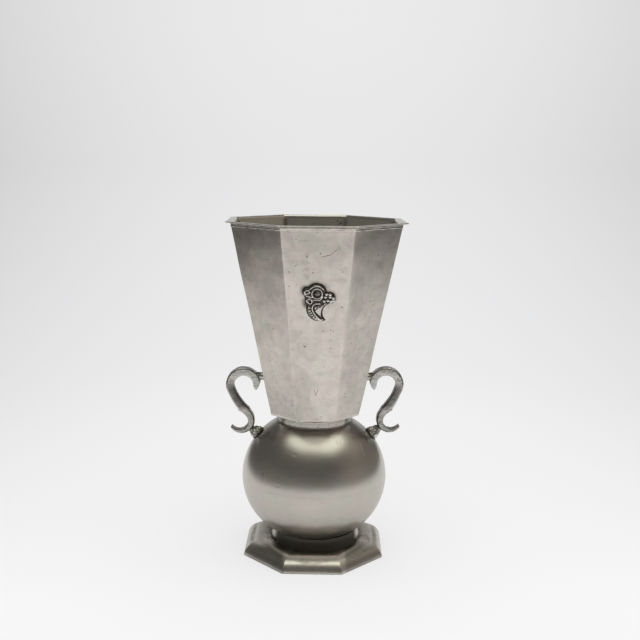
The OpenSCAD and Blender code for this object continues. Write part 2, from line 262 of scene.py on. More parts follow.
def mirrored_room(graph, x, y, z):
    """What the metal mirrors above the floor: ceiling, backdrop and a room warmer on the right."""
    high = z + graph.size(x) * 0.10 + x * 0.05 + y * 0.05
    side = graph.size(graph.math("ARCTAN2", x, y))
    behind = graph.smooth(side, 0.66, 0.24) * graph.smooth(z, 0.38, 0.1)
    backdrop = graph.smooth(x, -0.3, 0.4, BACKDROP_LEFT, BACKDROP_RIGHT)
    low = graph.smooth(z, 0.4, 0.15) * graph.smooth(y, 0.3, -0.2)
    room = graph.mix(low, ROOM, LOW_ROOM)
    room = graph.mix(behind, room, graph.even(backdrop))
    halo = graph.smooth(high, 0.80, 0.87, 0.0, HALO)
    rise = graph.smooth(z, 0.4, 0.75) * graph.smooth(y, -0.35, 0.3)
    glow = halo + graph.smooth(x, 0.5, 0.85) * (rise * WARM_RISE + WARM_LOW)
    room = graph.mix(1.0, room, graph.join(glow * WARM_RED, glow, glow * WARM_BLUE), "ADD")
    ceiling = graph.mix(graph.smooth(z, 0.965, 0.995), CEILING, ZENITH)
    return graph.mix(graph.smooth(high, 0.862, 0.925), room, ceiling)


def make_world():
    world = bpy.data.worlds.new("studio")
    bpy.context.scene.world = world
    graph = Graph(world)
    x, y, z = graph.xyz(graph.place("Generated"))
    aside = x / graph.most(y, 0.2) - PALEST_SIDE
    level = graph.smooth(z, -0.02, 0.16, HORIZON_WHITE, UPPER_WHITE) - aside * aside * SIDE_DROP
    shown = graph.even(graph.most(level, DIMMEST_WHITE), BACKDROP_BLUE)
    soft = graph.mix(graph.ray("Is Diffuse Ray"), mirrored_room(graph, x, y, z), (AMBIENT,) * 3)
    colour = graph.mix(graph.ray("Is Camera Ray"), soft, shown)
    background = graph.out("ShaderNodeBackground", {"Color": colour, "Strength": 1.0})
    graph.node("ShaderNodeOutputWorld", {"Surface": background})


def floor_shade(graph, x, y):
    """The sheet as the photograph shows it: paler towards the front, darker to the sides far back."""
    nearer = graph.math("DIVIDE", 1.0, graph.most(y + DEPTH_START, 0.1))
    aside = x / (y * SIDE_SLOPE + SIDE_START) - PALEST_SIDE
    fade = graph.math("SUBTRACT", 1.0, nearer * (1 / NO_DROP), clamp=True)
    level = graph.math("MINIMUM", nearer, NEAREST) * NEARER_WHITE + HORIZON_WHITE
    return graph.most(level - aside * aside * SIDE_DROP * fade, DIMMEST_WHITE)


def make_floor():
    bpy.ops.mesh.primitive_circle_add(vertices=128, radius=FLOOR_R, fill_type="NGON")
    floor = bpy.context.object
    floor.name = "floor"
    material = bpy.data.materials.new("floor_sheet")
    graph = Graph(material)
    place = graph.place()
    x, y, _ = graph.xyz(place)
    off_sheet = graph.smooth(y, *SHEET_BACK, 0.0, 0.75)
    for reach, edge in ((x * -1.0, SHEET_LEFT), (x, SHEET_RIGHT), (y * -1.0, SHEET_FRONT)):
        off_sheet = graph.most(off_sheet, graph.smooth(reach, *edge))
    diffuse = graph.out("ShaderNodeBsdfDiffuse", {"Color": (FLOOR_WHITE,) * 3})
    # Seen in the metal, the floor off the sheet is a dim glow that stands for the dark room
    dim = graph.out("ShaderNodeEmission", {"Color": ROOM})
    mirrored = graph.mix_shaders(off_sheet, diffuse, dim)
    # Seen by the camera, the sheet is partly a glow with painted shading, lifted near the vase so that
    # the vase's shadow shows faintly
    far = graph.smooth(graph.vector("LENGTH", place), 0.2, 0.6)
    level = floor_shade(graph, x, y)
    level = level + (level - FLOOR_LIT) * ((1 - SHEET_GLOW) / SHEET_GLOW) * (1.0 - far)
    plain = graph.out("ShaderNodeEmission", {"Color": graph.even(level, SHEET_BLUE)})
    seen = graph.mix_shaders(far * (1 - SHEET_GLOW) + SHEET_GLOW, diffuse, plain)
    surface = graph.mix_shaders(graph.ray("Is Camera Ray"), mirrored, seen)
    graph.node("ShaderNodeOutputMaterial", {"Surface": surface})
    floor.data.materials.append(material)


def make_lamps():
    data = bpy.data.lights.new("overhead", "AREA")
    data.shape = "RECTANGLE"
    data.size, data.size_y = LAMP_SIZE
    data.energy = LAMP_WATTS
    data.color = LAMP_COLOUR
    lamp = bpy.data.objects.new("overhead", data)
    lamp.location = LAMP_PLACE
    lamp.visible_glossy = False
    bpy.context.scene.collection.objects.link(lamp)


# Mesh helpers


def unit(angle):
    return np.array((math.cos(angle), math.sin(angle)))


def ring_of(half, fillet=0.0, roundness=0.0, flat_points=24, corner_points=6):
    """Points of a ring, anticlockwise: an octagon with filleted corners, or a share of a circle."""
    flat = (half - fillet) * math.tan(HALF_SIDE)
    centre = (half - fillet) / math.cos(HALF_SIDE)
    points = []
    for side in range(SIDES):
        turn = side * 2 * HALF_SIDE
        out = unit(turn)
        along = np.array((-out[1], out[0]))
        for step in range(flat_points):
            points.append(out * half + along * flat * (2 * step / (flat_points - 1) - 1))
        middle = unit(turn + HALF_SIDE) * centre
        for step in range(1, corner_points + 1):
            points.append(middle + fillet * unit(turn + 2 * HALF_SIDE * step / (corner_points + 1)))
    points = np.array(points)
    if roundness:
        length = np.linalg.norm(points, axis=1, keepdims=True)
        points = points * (1 - roundness) + points / length * half * roundness
    return points


def circle_of(half, count):
    angles = np.arange(count) * 2 * math.pi / count
    return np.stack((np.cos(angles), np.sin(angles)), 1) * half


def rings(profile, ring=ring_of, **fineness):
    """Rows of points for a profile whose entries are (half width, z, settings...)."""
    rows = []
    for half, z, *settings in profile:
        flat = ring(half, *settings, **fineness)
        rows.append(np.column_stack((flat, np.full(len(flat), z))))
    return rows


def off(size, *profile):
    """A profile given by distances out from a size."""
    return [(size + out, *rest) for out, *rest in profile]


def resample(profile, step):
    """The same profile with points about a step apart, so that it can be shaped finely."""
    fine = [profile[0]]
    for before, after in zip(profile, profile[1:]):
        count = max(1, round(math.dist(before[:2], after[:2]) / step))
        for index in range(1, count + 1):
            share = index / count
            fine.append(tuple(b + (a - b) * share for b, a in zip(before, after)))
    return fine


def arc(centre, radius, start, end, count):
    """Points on an arc, its angles in degrees."""
    return [
        (centre[0] + radius * math.cos(angle), centre[1] + radius * math.sin(angle))
        for angle in np.radians(np.linspace(start, end, count))
    ]


def skin(rows, closed=True, ends=False):
    """Vertices and faces of rings laid one on another. Closed joins the last to the first."""
    count, around = len(rows), len(rows[0])
    vertices = [tuple(point) for row in rows for point in row]
    faces = []
    for row in range(count if closed else count - 1):
        low, high = row * around, (row + 1) % count * around
        for place in range(around):
            after = (place + 1) % around
            faces.append((low + place, low + after, high + after, high + place))
    if ends:
        for row, backward in ((0, True), (count - 1, False)):
            vertices.append(tuple(np.mean(rows[row], axis=0)))
            for place in range(around):
                pair = (row * around + place, row * around + (place + 1) % around)
                faces.append((*(reversed(pair) if backward else pair), len(vertices) - 1))
    return vertices, faces


def ripple(points, length, seed, waves=14):
    """Smooth random heights between about -1 and 1, with swells about a length apart."""
    draw = np.random.RandomState(seed)
    total = np.zeros(len(points))
    for _ in range(waves):
        way = draw.normal(size=3)
        way *= 2 * math.pi / (length * draw.uniform(0.7, 1.5) * np.linalg.norm(way))
        total += np.sin(points @ way + draw.uniform(0, 2 * math.pi))
    return total / math.sqrt(waves)


def ripples(points, *kinds):
    """The sum of several ripples, each given as (height, length, seed)."""
    return sum(height * ripple(points, length, seed) for height, length, seed in kinds)


def lumpy(points, length, seed):
    """Sharp-edged lumps, from the folds of a smooth noise."""
    offset = Vector((seed, seed * 0.7, 0))
    return np.array([
        noise.turbulence(Vector(point) / length + offset, 3, False) for point in points
    ])


def blend_in(values, low, high):
    """Smooth steps from 0 at low to 1 at high."""
    share = np.clip((values - low) / (high - low), 0, 1)
    return share * share * (3 - 2 * share)


def near_line(values, middle, width):
    """1 at a middle value, falling to 0 at a width from it."""
    return 1 - blend_in(np.abs(values - middle), 0, width)


def make_piece(name, shape, material, node, sharp=38):
    """A named mesh piece in the frame, in metres from points in millimetres, and its points."""
    vertices, faces = shape
    mesh = bpy.data.meshes.new(name)
    mesh.from_pydata([[c * MM for c in vertex] for vertex in vertices], [], faces)
    mesh.update()
    mesh.polygons.foreach_set("use_smooth", [True] * len(mesh.polygons))
    mesh.set_sharp_from_angle(angle=math.radians(sharp))
    piece = bpy.data.objects.new(name, mesh)
    bpy.context.scene.collection.objects.link(piece)
    mesh.materials.append(material)
    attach(piece, BODY)
    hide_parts(node)
    return piece, points_of(piece)


def triples(collection, key):
    flat = np.zeros(len(collection) * 3)
    collection.foreach_get(key, flat)
    return flat.reshape(-1, 3)


def points_of(piece):
    return triples(piece.data.vertices, "co") / MM


def put_points(piece, points):
    """Sets a piece's points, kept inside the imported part's box."""
    low, high = (np.array(corner) for corner in cad_box)
    piece.data.vertices.foreach_set("co", np.clip(points * MM, low, high).ravel())
    piece.data.update()


def push(piece, heights):
    """Moves a piece's points along their normals, by heights in millimetres, and gives them."""
    normals = triples(piece.data.vertex_normals, "vector")
    put_points(piece, points_of(piece) + normals * heights[:, None])
    return points_of(piece)


def paint(piece, **layers):
    """Stores by name what each point of a piece has, 0 to 1: tarnish with painted shade, stain,
    painted shade with grime, painted highlights, and mattness.
    """
    for name, values in layers.items():
        values = np.clip(np.broadcast_to(values, len(piece.data.vertices)), 0, 1)
        layer = piece.data.attributes.new(name, "FLOAT", "POINT")
        layer.data.foreach_set("value", values.astype(np.float32))


def near(points, places, radius):
    """1 at each place, falling to 0 at a radius from it."""
    total = np.zeros(len(points))
    for place in places:
        distance = np.linalg.norm(points - np.array(place), axis=1)
        total = np.maximum(total, 1 - blend_in(distance, 0, radius))
    return total


def across(points):
    """How far out each point is, square to the nearest of the eight sides."""
    x, y, _ = points.T
    off = (np.arctan2(y, x) + HALF_SIDE) % (2 * HALF_SIDE) - HALF_SIDE
    return np.hypot(x, y) * np.cos(off)


def corner_share(points, width):
    """1 on the lines through the axis and the eight corners, 0 at a width from them."""
    x, y, _ = points.T
    angle = (np.arctan2(y, x) / HALF_SIDE) % 2 - 1
    return 1 - blend_in(np.abs(angle) * HALF_SIDE * np.hypot(x, y), 0, width)


# Pewter

CREAM = (0.69, 0.648, 0.610)
OLIVE = (0.78, 0.755, 0.655)
# The next two: the dark of tarnish and of painted shade, and the light of painted glints and
# highlights
TARNISH_AND_SHADE = (0.075, 0.068, 0.056)
SHINE = (0.93, 0.91, 0.87)
ROSY = (1.025, 0.99, 0.978)
MOSSY = (0.985, 1.0, 0.964)
# Noises over the metal: shift, scale, detail, roughness and distortion
CLOUD = ((0.0, 0.0, 0.0), 34.0, 3.0, 0.55, 0.8)
PATCHES = ((0.4, 0.1, 0.8), 105.0, 2.0, 0.5, 1.4)
SPOTS = ((0.0, 0.0, 0.0), 210.0, 4.0, 0.6, 0.4)
FINE = ((0.0, 0.0, 0.0), 2400.0, 2.0, 0.6, 0.0)
HUE = ((0.9, 0.2, 0.5), 62.0, 2.0, 0.5, 1.0)
HAIR = ((0.3, 0.7, 0.1), 46.0, 1.0, 0.5, 2.2)
WHERE = ((0.0, 0.0, 0.0), 60.0, 1.0, 0.5, 0.0)
BRUSH_ALONG = 28.0
BRUSH_ACROSS = 900.0
# Pits: cells per metre, how much wider the widest are, and the share of cells left without one
PIT_KINDS = ((185.0, 0.09, 0.60), (420.0, 0.17, 0.62))
PIT_R = 0.045
PIT_CROWD = 1.3
BUMP_M = 0.000012


def noise_over(graph, place, kind):
    shift, *settings = kind
    return graph.noise(graph.vector("ADD", place, shift), *settings)


def hairlines(graph, place, where):
    """Fine curved scratches, only where a slow noise is high."""
    off_line = graph.size(noise_over(graph, place, HAIR) - 0.5)
    return graph.smooth(off_line, 0.0035, 0.0) * graph.smooth(where, 0.5, 0.62)


def scattered_pits(graph, place, where, pits):
    """Round pits of two sizes, more of them where a slow noise is high."""
    crowd = (where - 0.5) * PIT_CROWD
    found = 0.0
    for scale, reach, bare in PIT_KINDS:
        settings = {"Vector": place, "Scale": scale, "Randomness": 1.0}
        cells = graph.node("ShaderNodeTexVoronoi", settings)
        distance, colour = (Wire(graph, cells.outputs[key]) for key in ("Distance", "Color"))
        lot = graph.xyz(colour)
        size = lot[1] * reach + PIT_R
        hole = graph.smooth(distance, size, size * 0.35)
        hole = hole * graph.smooth(lot[0] + crowd, bare, bare + 0.04)
        found = graph.most(found, hole * pits)
    return found


def scratch(graph, place, start, end, width):
    """1 along a line from start to end, 0 at a width from it."""
    way = Vector(end) - Vector(start)
    from_start = graph.vector("SUBTRACT", place, start)
    along = graph.vector("DOT_PRODUCT", from_start, way)
    share = graph.math("MULTIPLY", along, 1 / way.length_squared, clamp=True)
    foot = graph.vector("SCALE", tuple(way), scale=share)
    return graph.smooth(graph.vector("DISTANCE", from_start, foot), width, 0.0)


def placed_marks(graph, place, marks, dark):
    """Marks that have a place: lines and spots add to the dark, glints and specks are light."""
    light = 0.0
    for kind, *spot in marks:
        if kind in ("line", "glint"):
            mark = scratch(graph, place, *spot)
        else:
            middle, radius = spot
            mark = graph.smooth(graph.vector("DISTANCE", place, middle), radius, radius * 0.3)
        if kind in ("glint", "speck"):
            light = graph.most(light, mark)
        else:
            dark = graph.most(dark, mark)
    return dark, light


def pewter(name, tone=CREAM, rough=0.29, swirl=1.0, pits=1.0, grain=1.0, spun=0.0,
           tarnish_and_shade=TARNISH_AND_SHADE, marks=()):
    """Old cast or spun pewter: clouded, finely brushed, pitted and scratched, dark in its hollows.

    The layers of a mesh say where it is dark with tarnish and painted shade, olive (stain), darker
    with painted shade and grime, lighter with painted highlights, and less of a mirror (matt)."""
    material = bpy.data.materials.new(name)
    graph = Graph(material)
    place = graph.place()
    x, y, z = graph.xyz(place)
    radius = graph.vector("LENGTH", graph.join(x, y, 0.0))
    turned = graph.join(
        x * BRUSH_ALONG + radius * BRUSH_ACROSS, y * BRUSH_ALONG, z * BRUSH_ACROSS)
    brush = graph.noise(turned, 1.0, 3.0, 0.6)
    cloud, patches, spots, fine, hue, where = (
        noise_over(graph, place, kind) for kind in (CLOUD, PATCHES, SPOTS, FINE, HUE, WHERE))
    hairline = hairlines(graph, place, where)
    pit, glint = placed_marks(graph, place, marks, scattered_pits(graph, place, where, pits))
    patina = graph.layer("patina")
    uneven = patina + (spots - 0.5) * 0.7
    dark = graph.smooth(uneven, 0.12, 0.9) * graph.smooth(patina, 0.0, 0.12)

    shade = 1.0
    for pattern, weight in (
        (cloud, 0.42 * swirl), (patches, 0.42 * swirl), (spots, 0.34 * swirl),
        (brush, 0.10 * grain), (fine, 0.04 * grain),
    ):
        shade = shade + (pattern - 0.5) * weight
    # Painted shade, with some grime, darkens the colour where a mesh's layer says so
    shade = shade * (1.0 - graph.layer("dull") * 0.85)
    colour = graph.mix(1.0, tone, graph.even(shade), "MULTIPLY")
    tint = graph.mix(graph.smooth(hue, 0.42, 0.58), ROSY, MOSSY)
    colour = graph.mix(1.0, colour, tint, "MULTIPLY")
    # Over the colour: olive stain, dark scratches and pits, tarnish with painted shade, then painted
    # glints and highlights
    for share, over in (
        (graph.layer("stain") * 0.9, OLIVE), (hairline * 0.4, TARNISH_AND_SHADE), (pit * 0.85, TARNISH_AND_SHADE),
        (dark * 0.93, tarnish_and_shade), (glint * 0.8, SHINE), (graph.layer("worn") * 0.8, SHINE),
    ):
        colour = graph.mix(share, colour, over)

    gloss = rough + (spots - 0.5) * (0.10 * swirl)
    gloss = graph.math("ADD", gloss, graph.most(dark, pit) * 0.2, clamp=True)
    height = brush * (0.28 * grain) + fine * (0.05 * grain) - pit * 5.0 - hairline * 1.2
    bump = graph.out("ShaderNodeBump", {"Strength": 1.0, "Distance": BUMP_M, "Height": height})
    bsdf = graph.out("ShaderNodeBsdfPrincipled", {
        "Base Color": colour, "Metallic": 1.0 - graph.layer("matt"), "Roughness": gloss,
        "Normal": bump, "Anisotropic": spun, "Anisotropic Rotation": 0.25})
    graph.node("ShaderNodeOutputMaterial", {"Surface": bsdf})
    return material


# Cup

RIM_R = 0.40
CUP_STEP = 1.1
INSIDE_STEP = 1.6
PLATE_STEP = 1.0
COLLAR_POINTS = 240
# A dark smudge down the front facet, above the ornament
CUP_SMUDGE = ((-6.5, -49.9, 202.6), (-6.4, -49.0, 198.0), (-6.3, -48.2, 194.0), (-6.2, -47.3, 189.3))
# Painted shadow round the ornament, with some tarnish: places on its facet and how far it reaches
CAST_HALO = (
    (-1.35, 6.2, 11.5), (-7.0, 6.9, 7.2), (-5.5, 0.0, 7.6), (6.1, 2.9, 7.4), (-3.0, -5.0, 6.2),
)
COLLAR_FLECKS = ((8.5, -22.5, 91.8), (-3.0, -23.8, 92.0), (13.5, -19.8, 90.6), (-16.5, -17.4, 91.5))


def facet_place(u, v):
    """A place on the front facet, u to the right and v up from the ornament's middle."""
    lean = math.atan(LEAN)
    return (ORN_X + u, -cup_half(ORN_Z) - v * math.sin(lean), ORN_Z + v * math.cos(lean))


def make_cup_wall(material):
    top, low = cup_half(LIP_Z), cup_half(FLOOR_TOP_Z)
    outside = resample([(low, FLOOR_TOP_Z, 1.1), (top, LIP_Z, 0.7)], CUP_STEP)
    inside = [(top - WALL_ACROSS, LIP_Z, 0.5), (low - WALL_ACROSS, FLOOR_TOP_Z, 0.5)]
    shape = skin(rings(outside + resample(inside, INSIDE_STEP)))
    piece, points = make_piece("cup_wall_sheet", shape, material, "cup_wall")
    z = points[:, 2]
    inner = np.arange(len(points)) >= len(outside) * len(ring_of(1))
    keep = blend_in(z, FLOOR_TOP_Z, FLOOR_TOP_Z + 4) * blend_in(z, LIP_Z, LIP_Z - 4)
    swells = ripples(points, (0.10, 60, 3), (0.045, 20, 4), (0.012, 9, 5))
    push(piece, np.where(inner, 0, swells * keep))
    paint_cup_wall(piece, points, inner)


def paint_cup_wall(piece, points, inner):
    """Outside: painted shadow under the lip and, with some tarnish, round the ornament; broad painted
    shade; a smudge; painted highlights on the front corners; darker at the foot. Inside, olive with
    dark corners and blotches, and painted shade further down.
    """
    x, y, z = points.T
    # Painted shadow under the lip, and round the ornament painted shadow with some tarnish
    shadow_and_tarnish = blend_in(z, LIP_Z - 2.2, LIP_Z) * 0.06 * (1 + ripple(points, 5, 8))
    for u, v, reach in CAST_HALO:
        shadow_and_tarnish = np.maximum(shadow_and_tarnish, near(points, [facet_place(u, v)], reach))
    foot = blend_in(z, 104, 95) * 0.12 * (1 + ripple(points, 7, 9))
    blotches = 0.7 * blend_in(lumpy(points, 3.2, 12), 0.48, 0.75)
    # Inside: tarnish in the corners and in blotches, and painted shade further down
    inside = 0.03 + corner_share(points, 4.0) * 0.6 + blend_in(z, 200, 120) * 0.35 + blotches
    # A painted highlight along the front corners
    front_edge = blend_in(-y, 0, 10) * corner_share(points, 0.8)
    half = cup_half(z)
    # Painted shade low on the left, round the ornament, on the right, high on the left and below the
    # rim, and grime along the smudge
    dull = np.maximum.reduce([
        0.32 * blend_in(z, 150, 96) * blend_in(x, 6, -13),
        0.10 * near(points, [facet_place(-0.5, 0)], 17), 0.3 * near(points, CUP_SMUDGE, 3.0),
        0.24 * blend_in(x, half * 0.36, half * 0.5),
        0.04 + 0.16 * blend_in(z, 185, 205) * blend_in(x, -36, -44), 0.13 * blend_in(z, 193, 208),
    ])
    paint(
        piece, patina=np.where(inner, inside, np.maximum(shadow_and_tarnish, foot)), stain=0.9 * inner,
        worn=np.where(inner, 0, front_edge * 0.14 * (1 + ripple(points, 14, 10))),
        dull=np.where(inner, 0, dull),
    )


def make_lip(material):
    """The turned-out lip: flared corners, a rounded rim and a soldered seam under it."""
    wall = cup_half(LIP_Z)
    inner = wall - WALL_ACROSS
    profile = off(
        wall, (-0.45, 216.5), (-0.05, 216.75), (0.03, 217.2), (0.17, 217.9), (0.30, 218.5),
        (0.55, 218.85), (1.3, 219.08), (2.2, 219.16))
    profile += arc((LIP_HALF - RIM_R, VASE_H - RIM_R), RIM_R, -90, 90, 11)
    profile += [(wall + 1.3, 219.99)] + off(
        inner, (2.1, 219.96), (1.2, 219.85), (0.6, 219.3), (0.25, 218.4), (0.0, 217.5), (-0.02, 216.4))
    flared = [(half, z, 0.5 + 1.8 * min(max((half - wall) / 1.6, 0), 1)) for half, z in profile]
    piece, points = make_piece("cup_lip_strip", skin(rings(flared)), material, "cup_lip", 50)
    under = blend_in(points[:, 2], 218.6, 217.3)
    outer = blend_in(across(points), wall - 1, wall - 0.3)
    lump = under * outer * ripples(points, (0.05, 4.5, 21), (0.04, 1.8, 22))
    blob = near(points, [(22.6, -55.3, 218.6)], 2.0) * 0.35
    edge = blend_in(across(points), wall + 1.5, LIP_HALF) * (0.10 * ripple(points, 14, 25) - 0.1)
    points = push(piece, lump + blob + edge)
    x, y, z = points.T
    z -= np.clip(blend_in(z, 218.9, 219.3) * 0.03 * (1 + ripple(points, 35, 23)), 0, 0.12)
    put_points(piece, points)
    beside = blend_in(np.abs(x), 21, 25)
    seam = near_line(z, 216.9, 0.45) * beside * 0.55
    # Painted shadow in the crease under the rim
    crease = near_line(z, 218.62, 0.6) * (0.75 + 0.15 * beside)
    # Painted highlights along the rim's top and the back of the lip
    rim = blend_in(across(points), LIP_HALF - 0.9, LIP_HALF - 0.3) * blend_in(z, 219.2, 219.5)
    back = blend_in(z, 219.5, 219.8) * blend_in(y, -40, -10)
    # Painted shade on the outside below the flare
    paint(
        piece, patina=outer * (seam + crease + under * 0.12 * (1 + ripple(points, 3, 24))),
        stain=0.08, dull=outer * blend_in(z, 218.9, 218.2) * 0.16,
        worn=np.maximum(0.5 * rim, 0.8 * back),
    )


def make_cup_floor(material):
    side = cup_half(FLOOR_TOP_Z)
    profile = off(CUP_LOW_HALF, (-0.5, CUP_Z), (-0.15, CUP_Z + 0.1), (0.05, CUP_Z + 0.4))
    profile = [(half, z, 1.1, 0.0) for half, z in profile + [(side, FLOOR_TOP_Z)]]
    profile.append((side - WALL_ACROSS, FLOOR_TOP_Z, 0.6, 0.0))
    throat = off(THROAT_R, (0.5, FLOOR_TOP_Z - 0.02), (0.12, FLOOR_TOP_Z - 0.15),
                 (0.0, FLOOR_TOP_Z - 0.5), (0.0, CUP_Z))
    profile += [(half, z, 0.6, 1.0) for half, z in throat + [(COLLAR_R + 1, CUP_Z)]]
    shape = skin(rings(resample(profile, PLATE_STEP)))
    piece, points = make_piece("cup_floor_plate", shape, material, "cup_floor")
    z = points[:, 2]
    inside = blend_in(z, CUP_Z + 1, FLOOR_TOP_Z) * blend_in(across(points), side - 0.2, side - 1)
    # Dark under the plate by the collar: a dark joint with painted shadow
    under = blend_in(z, CUP_Z + 0.25, CUP_Z)
    paint(piece, patina=np.maximum(inside * 0.5, under * 0.35), stain=inside)


def make_collar(material):
    """A plain tube with a soldered seam under the cup and a narrow band at its foot."""
    profile = off(
        COLLAR_R, (0.3, 86.4), (0.42, 87.3), (0.42, 87.9), (0.3, 88.25), (0.1, 88.5), (0.02, 89.2),
        (0.0, 90.2), (0.08, 91.0), (0.02, 91.8), (0.0, 92.6), (0.12, 93.1), (0.4, 93.45), (0.5, 93.9),
        (0.45, CUP_Z))
    profile += [(THROAT_R, CUP_Z), (THROAT_R, 90.0), (THROAT_R, COLLAR_LOW_Z)]
    profile.append((COLLAR_R - 0.2, COLLAR_LOW_Z))
    shape = skin(rings(profile, circle_of, count=COLLAR_POINTS))
    piece, points = make_piece("collar_tube", shape, material, "collar", 60)
    x, y, z = points.T
    out = blend_in(np.hypot(x, y), 23, 23.6)
    push(piece, out * ripples(points, (0.06, 7, 31), (0.03, 2.2, 32)))
    # Dark lines under the cup and at the foot: dark joints with painted shadow
    seam = near_line(z, 93.5, 0.5) * 0.7 + blend_in(z, 87.6, 86.8) * 0.6
    seam += near_line(z, 88.45, 0.3) * 0.2
    flecks = 0.35 * near(points, COLLAR_FLECKS, 1.1)
    outer = seam + flecks + 0.08 * (1 + ripple(points, 5, 33))
    # Darker at its left and right ends as painted shade
    paint(piece, patina=np.where(out > 0.5, outer, 0.6), stain=1 - out,
          dull=0.12 + 0.6 * blend_in(np.abs(x), 19, 23))


# Ball

BALL_POINTS = 300
BALL_PITS = (
    (-12.8, -37.2, 75.9), (-23.4, -41.2, 57.0), (40.9, -15.5, 68.7), (-3.0, -45.9, 38.9),
    (10.5, -43.3, 34.8),
)
HANDLE_FEET = ((34.4, 0, 80.9), (-34.4, 0, 80.9))


def ball_arc(radius, start, end, count):
    return arc((BALL_SPREAD, BALL_Z), radius, start, end, count)


def make_ball_half(name, profile, material, node, **ends):
    """A half shell of the ball with its swells, dents and seam. Also gives what the paint needs."""
    shape = skin(rings(profile, circle_of, count=BALL_POINTS), **ends)
    piece, points = make_piece(name, shape, material, node)
    x, y, z = points.T
    length = np.hypot(x, y)
    out = np.hypot(np.maximum(length - BALL_SPREAD, 0), z - BALL_Z) > BALL_R - BALL_T / 2
    away = blend_in(np.abs(z - BALL_Z), 0.2, 5)
    swells = ripples(points, (0.06, 55, 41), (0.02, 22, 42))
    pits = near(points, BALL_PITS, 0.95)
    lathe = 0.006 * np.sin(z * 5.1) * away
    seam = 0.10 * near_line(z, BALL_Z, 0.9) * (1 + 0.4 * ripple(points, 6, 43))
    push(piece, np.where(out, away * swells + lathe + seam - 0.22 * pits, 0))
    return piece, points, length, out, pits


def make_ball_upper(material):
    low_angle = math.degrees(math.acos((COLLAR_R - BALL_SPREAD) / BALL_R))
    in_angle = math.degrees(math.acos((COLLAR_R - BALL_SPREAD) / (BALL_R - BALL_T)))
    profile = ball_arc(BALL_R, 0, low_angle, 76) + ball_arc(BALL_R - BALL_T, in_angle, 0, 20)
    piece, points, length, out, pits = make_ball_half(
        "ball_upper_half", profile, material, "ball_upper")
    # Under the collar a dark joint with painted shadow and broader painted shade; painted shade round
    # the handles' bosses too
    seam = 0.3 * blend_in(length, 25.2, 24.5)
    feet = near(points, HANDLE_FEET, 7.5)
    paint(
        piece, patina=np.where(out, seam + 0.5 * pits, 0.5),
        stain=np.where(out, 0.04 + 0.08 * ripple(points, 30, 45), 1),
        dull=np.where(out, 0.55 * blend_in(length, 26.4, 24.6) + 0.2 * feet, 0),
    )


def make_ball_lower(material):
    outside = [(0.4, BALL_Z - BALL_R)] + ball_arc(BALL_R, -90, 0, 84)
    inside = ball_arc(BALL_R - BALL_T, 0, -90, 24) + [(0.4, BALL_Z - BALL_R + BALL_T)]
    piece, points, _, out, pits = make_ball_half(
        "ball_lower_half", outside + inside, material, "ball_lower", closed=False, ends=True)
    paint(piece, patina=np.where(out, 0.5 * pits, 0.5),
          stain=np.where(out, 0.03 + 0.05 * ripple(points, 25, 46), 1))


# Foot

RING_SHIFT = (1.2, -1.0)
RING_FOOT_R = 30.0
RING_TOP_R = 27.6
PLINTH_TURN = math.radians(-1.9)
DISH_R = RING_FOOT_R + 1.9
RING_POINTS = 220
PLINTH_STEP = 1.2
PLINTH_POINTS = {"flat_points": 26, "corner_points": 4}
BEAD_AROUND = 480
BEAD_ACROSS = 26
BEAD_H = 1.5
SOLDER_PATCHES = (
    (34.7, -5.2, 8.8), (38.0, 2.5, 8.8), (37.8, -13.5, 8.8), (31.5, -17.5, 8.8), (36, -9, 8.8),
)
SOLDER_PATCHES_LEFT = ((-30.0, -10.3, 8.8), (-31.2, -2.2, 8.8), (-31.4, -21, 8.8), (-29.5, 6, 8.8))


def make_foot_ring(material):
    profile = off(RING_FOOT_R, (0.25, DISH_Z), (-0.2, 9.6), (-1.1, 11.2), (-1.9, 13.0))
    profile += off(RING_TOP_R, (-0.1, 14.6), (0.05, 15.7), (-0.8, 15.9), (-2.0, 15.2))
    profile += off(RING_FOOT_R, (-2.6, 11.0), (-2.0, DISH_Z))
    shape = skin(rings(profile, circle_of, count=RING_POINTS))
    piece, points = make_piece("foot_ring_band", shape, material, "foot_ring", 60)
    points = push(piece, ripples(points, (0.08, 8, 51), (0.05, 2.5, 52)))
    side = np.abs(points[:, 0]) / RING_FOOT_R
    points[:, :2] += RING_SHIFT
    points[:, 2] = np.maximum(points[:, 2], DISH_Z)
    put_points(piece, points)
    # Dark all round as tarnish with painted shade, its two ends left light as painted highlights
    lit_ends = blend_in(side, 0.80, 0.95) * blend_in(points[:, 2], 9, 10.8)
    paint(piece, patina=0.97 - 0.9 * lit_ends, stain=0.15, dull=0.6 * (1 - lit_ends))


def bead_rows():
    """Rows of the solder bead, from its outer edge up to the ring and back underneath."""
    angles = np.arange(BEAD_AROUND) * 2 * math.pi / BEAD_AROUND
    cosine, sine = np.cos(angles), np.sin(angles)
    run = 1.9 + 0.45 * np.cos(angles * 3 + 0.6) + 2.6 * np.exp(-((cosine - 1) / 0.12) ** 2)
    run += 0.9 * np.exp(-((cosine + 1) / 0.1) ** 2)
    rows = []
    for step in range(BEAD_ACROSS):
        share = step / (BEAD_ACROSS - 1)
        radius = RING_FOOT_R - 0.9 + (run + 0.9) * share
        height = np.full(BEAD_AROUND, DISH_Z + BEAD_H * (1 - share) ** 2.2)
        rows.append(np.column_stack(
            (radius * cosine + RING_SHIFT[0], radius * sine + RING_SHIFT[1], height)))
    for radius in (RING_FOOT_R + 1.5, RING_FOOT_R - 0.9):
        flat = circle_of(radius, BEAD_AROUND) + RING_SHIFT
        rows.append(np.column_stack((flat, np.full(BEAD_AROUND, DISH_Z - 0.5))))
    return rows[::-1]


